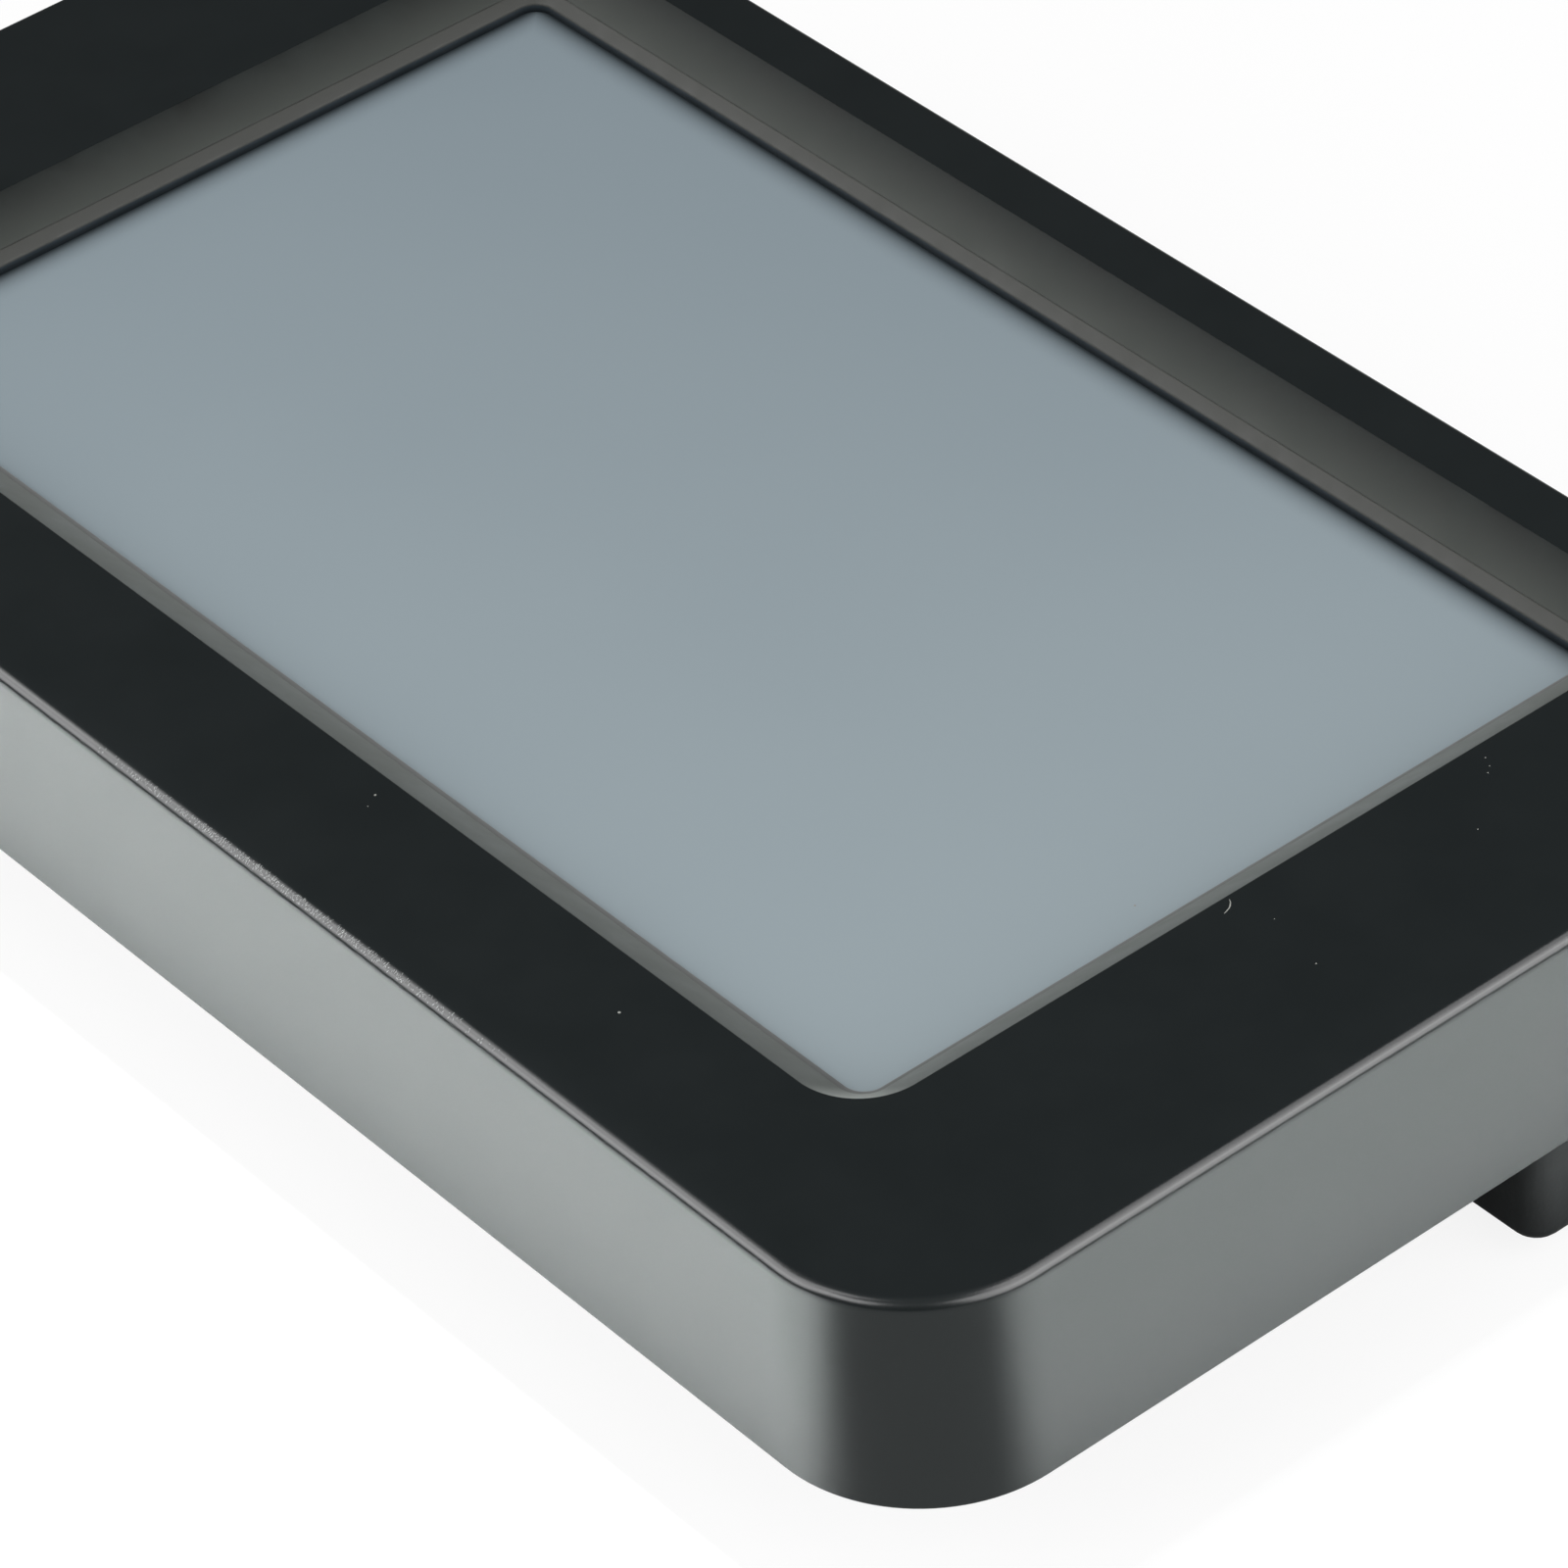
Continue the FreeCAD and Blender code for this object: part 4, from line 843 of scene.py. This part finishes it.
@dataclass
class CarriedSolids:
    """The solids that keep their own shape, with soft shading and a finish each."""

    finishes: dict[Finish, tuple[str, ...]] = field(default_factory=lambda: {
        Finish.FILM: ("touch_film",),
        Finish.COVER: ("rear_cover",),
        Finish.RUBBER: ("rubber_feet", "foam_frame"),
        Finish.GLASS: ("touch_glass", "display_glass"),
        Finish.ACRYLIC: ("light_guide",),
        Finish.POLARISER: ("upper_polariser", "lower_polariser"),
        Finish.WHITE: ("touch_spacer", "prism_sheet", "diffuser_sheet", "reflector_sheet",
                       "backlight_frame", "backlight_leds"),
        Finish.STEEL: ("display_frame", "display_tray", "display_clamps", "coin_cell", "bus_socket",
                       "card_socket"),
        Finish.ZINC: ("clamp_screws", "board_screws", "crystal", "terminal_pins", "capacitors"),
        Finish.BLACK_STEEL: ("cover_screws",),
        Finish.BRASS: ("mount_inserts",),
        Finish.BOARD: ("main_board", "led_strip"),
        Finish.EPOXY: ("driver_chips", "processor", "memory_chip", "flash_chip", "touch_chip",
                       "regulator", "power_coil", "sounder"),
        Finish.CERAMIC: ("chip_parts",),
        Finish.NYLON: ("display_socket", "touch_socket", "cell_holder"),
        Finish.NYLON_GREEN: ("terminal_header",),
        Finish.POLYIMIDE: ("display_tail", "touch_tail"),
    })
    crease_deg: float = 32.0
    join_mm: float = 0.01

    def soften(self, thing: bpy.types.Object) -> None:
        """Join a solid's loose triangles and shade its round edges smooth.

        Args:
            thing: the solid's object.
        """
        thing.data.polygons.foreach_set("use_smooth", [True] * len(thing.data.polygons))
        weld = thing.modifiers.new("join", "WELD")
        weld.merge_threshold = self.join_mm * MM
        split = thing.modifiers.new("crease", "EDGE_SPLIT")
        split.split_angle = math.radians(self.crease_deg)
        weighted = thing.modifiers.new("even", "WEIGHTED_NORMAL")
        weighted.mode = "FACE_AREA"

    def build(self) -> None:
        """Dress every solid that is still shown."""
        for finish, names in self.finishes.items():
            material = finish.value.build()
            for name in names:
                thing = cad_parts[name]
                thing.data.materials.clear()
                thing.data.materials.append(material)
                self.soften(thing)
                log.info("%s: %s", name, material.name)


# Stage

@dataclass(frozen=True)
class Lamp:
    """A soft rectangular lamp that looks at a point, with its places and sizes in metres."""

    name: str
    place: tuple[float, float, float]
    target: tuple[float, float, float]
    size: tuple[float, float]
    watts: float
    spread_deg: float = 180.0

    def build(self) -> bpy.types.Object:
        """Build the lamp.

        Returns:
            The lamp, linked to the scene.
        """
        data = bpy.data.lights.new(self.name, "AREA")
        data.shape = "RECTANGLE"
        data.size, data.size_y = self.size
        data.energy = self.watts
        data.spread = math.radians(self.spread_deg)
        made = bpy.data.objects.new(self.name, data)
        made.location = self.place
        gaze = Vector(self.target) - Vector(self.place)
        made.rotation_euler = gaze.to_track_quat("-Z", "Y").to_euler()
        bpy.context.scene.collection.objects.link(made)
        return made


@dataclass
class Studio:
    """A pale table, soft lamps and a dim room."""

    floor_size: float = 6.0
    floor_below: float = 0.0001
    floor_colour: str = "#F4F4F4"
    floor_shaded: str = "#878B8A"
    world: float = 0.06
    white_seen: float = 0.88
    white_in_gloss: float = 0.06
    lamps: tuple[Lamp, ...] = (
        # two large boxes, each with smaller ones that shape its reflection in the round edge
        Lamp("lamp_left", (-0.36, -0.49, 0.43), (-0.02, -0.02, 0.04), (0.84, 0.62), 4.65),
        Lamp("lamp_left_wing", (-0.411, -0.132, 0.538), (0, -0.06, 0.04), (0.32, 0.28), 0.34),
        Lamp("lamp_left_front", (0.142, -0.536, 0.475), (0.1, -0.055, 0.04), (0.28, 0.28), 0.8),
        Lamp("lamp_right", (0.63, 0.19, 0.43), (0.04, 0, 0.04), (0.84, 0.62), 4.6),
        Lamp("lamp_right_wing", (0.16, 0.34, 0.59), (0.1, 0, 0.04), (0.36, 0.30), 0.6),
        Lamp("lamp_right_core", (0.51, 0.24, 0.36), (0.1, 0, 0.04), (0.50, 0.15), 0.47),
        Lamp("lamp_right_low", (0.58, 0.27, 0.135), (0.1, 0, 0.04), (0.56, 0.15), 0.42),
        Lamp("lamp_right_corner", (0.3, 0.14, 0.59), (0.1, -0.02, 0.04), (0.18, 0.18), 0.3),
        Lamp("lamp_left_core", (-0.2, -0.53, 0.33), (0, -0.06, 0.04), (0.50, 0.15), 0.36),
        Lamp("lamp_left_corner", (-0.048, -0.251, 0.588), (0.09, -0.055, 0.04), (0.18, 0.18), 0.3),
        # narrow beams on the strips of table that the two near walls mirror
        Lamp("wash_left", (-0.07, -0.136, 0.8), (-0.07, -0.136, 0.0), (0.32, 0.13), 1.25, 2.0),
        Lamp("wash_right", (0.184, 0.076, 0.8), (0.184, 0.076, 0.0), (0.13, 0.23), 0.63, 2.0),
    )

    def floor_look(self) -> bpy.types.Material:
        """Build the table top's paper: white to the camera, greyer in gloss and as a reflector.

        Returns:
            The material.
        """
        nodes = Nodes("table_top_white")
        path = nodes.add("LightPath").outputs
        mirrored = nodes.combine("MAXIMUM", path["Is Glossy Ray"], path["Is Transmission Ray"])
        in_gloss = nodes.combine("MULTIPLY", mirrored, self.white_in_gloss)
        seen = nodes.combine("MULTIPLY", path["Is Camera Ray"], self.white_seen)
        # what is mirrored in the case is the table in the shade of the camera
        colour = nodes.blend(path["Is Camera Ray"], self.floor_shaded, self.floor_colour)
        paper = nodes.add("BsdfDiffuse", Color=colour).outputs[0]
        glow = nodes.add("Emission", Color=(1, 1, 1, 1), Strength=1.0).outputs[0]
        share = nodes.combine("MAXIMUM", seen, in_gloss)
        mixed = nodes.add("MixShader", Fac=share, i1=paper, i2=glow).outputs[0]
        nodes.add("OutputMaterial", Surface=mixed)
        return nodes.material

    def floor(self) -> bpy.types.Object:
        """Build a table top that keeps the module's shadow.

        Returns:
            The table top.
        """
        half = self.floor_size / 2
        corners = np.array([[-half, -half], [half, -half], [half, half], [-half, half]])
        points = np.hstack([corners, np.full((4, 1), -self.floor_below)])
        piece = mesh_object("table_top", points, [[0, 1, 2, 3]])
        piece.data.materials.append(self.floor_look())
        return piece

    def room(self) -> None:
        """Build the light of the room round the table."""
        world = bpy.data.worlds.new("room")
        world.use_nodes = True
        ground = world.node_tree.nodes["Background"]
        ground.inputs["Color"].default_value = (1, 1, 1, 1)
        ground.inputs["Strength"].default_value = self.world
        bpy.context.scene.world = world

    def build(self) -> None:
        """Build the whole stage."""
        self.floor()
        self.room()
        for lamp in self.lamps:
            lamp.build()


@dataclass
class Camera:
    """The photograph's viewpoint, found from its vanishing points."""

    place: tuple[float, float, float] = (0.47298, -0.35003, 0.47566)
    right: tuple[float, float, float] = (0.6436804, 0.7633588, -0.0543956)
    down: tuple[float, float, float] = (0.4519705, -0.4365440, -0.7779152)
    ahead: tuple[float, float, float] = (-0.6175745, 0.4761435, -0.6260105)
    lens: float = 176.18
    sensor: float = 36.0
    nearest: float = 0.01
    farthest: float = 20.0

    def build(self) -> bpy.types.Object:
        """Build the camera.

        Returns:
            The scene's camera.
        """
        data = bpy.data.cameras.new("photo_camera")
        data.lens, data.sensor_width = self.lens, self.sensor
        data.clip_start, data.clip_end = self.nearest, self.farthest
        made = bpy.data.objects.new("photo_camera", data)
        turned = Matrix([self.right, [-d for d in self.down], [-a for a in self.ahead]])
        made.matrix_world = Matrix.Translation(self.place) @ turned.transposed().to_4x4()
        bpy.context.scene.collection.objects.link(made)
        bpy.context.scene.camera = made
        return made


def main() -> None:
    """Build the module's looks and its stage in order."""
    logging.basicConfig(level=logging.INFO, format="%(name)s: %(message)s")
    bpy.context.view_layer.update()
    bpy.context.scene.view_settings.view_transform = "Standard"
    Camera().build()
    FrontCase().build()
    ScreenSeal().build()
    EdgePaintedGlints().build()
    Dust().build()
    CarriedSolids().build()
    Studio().build()


if __name__ == "__main__":
    main()
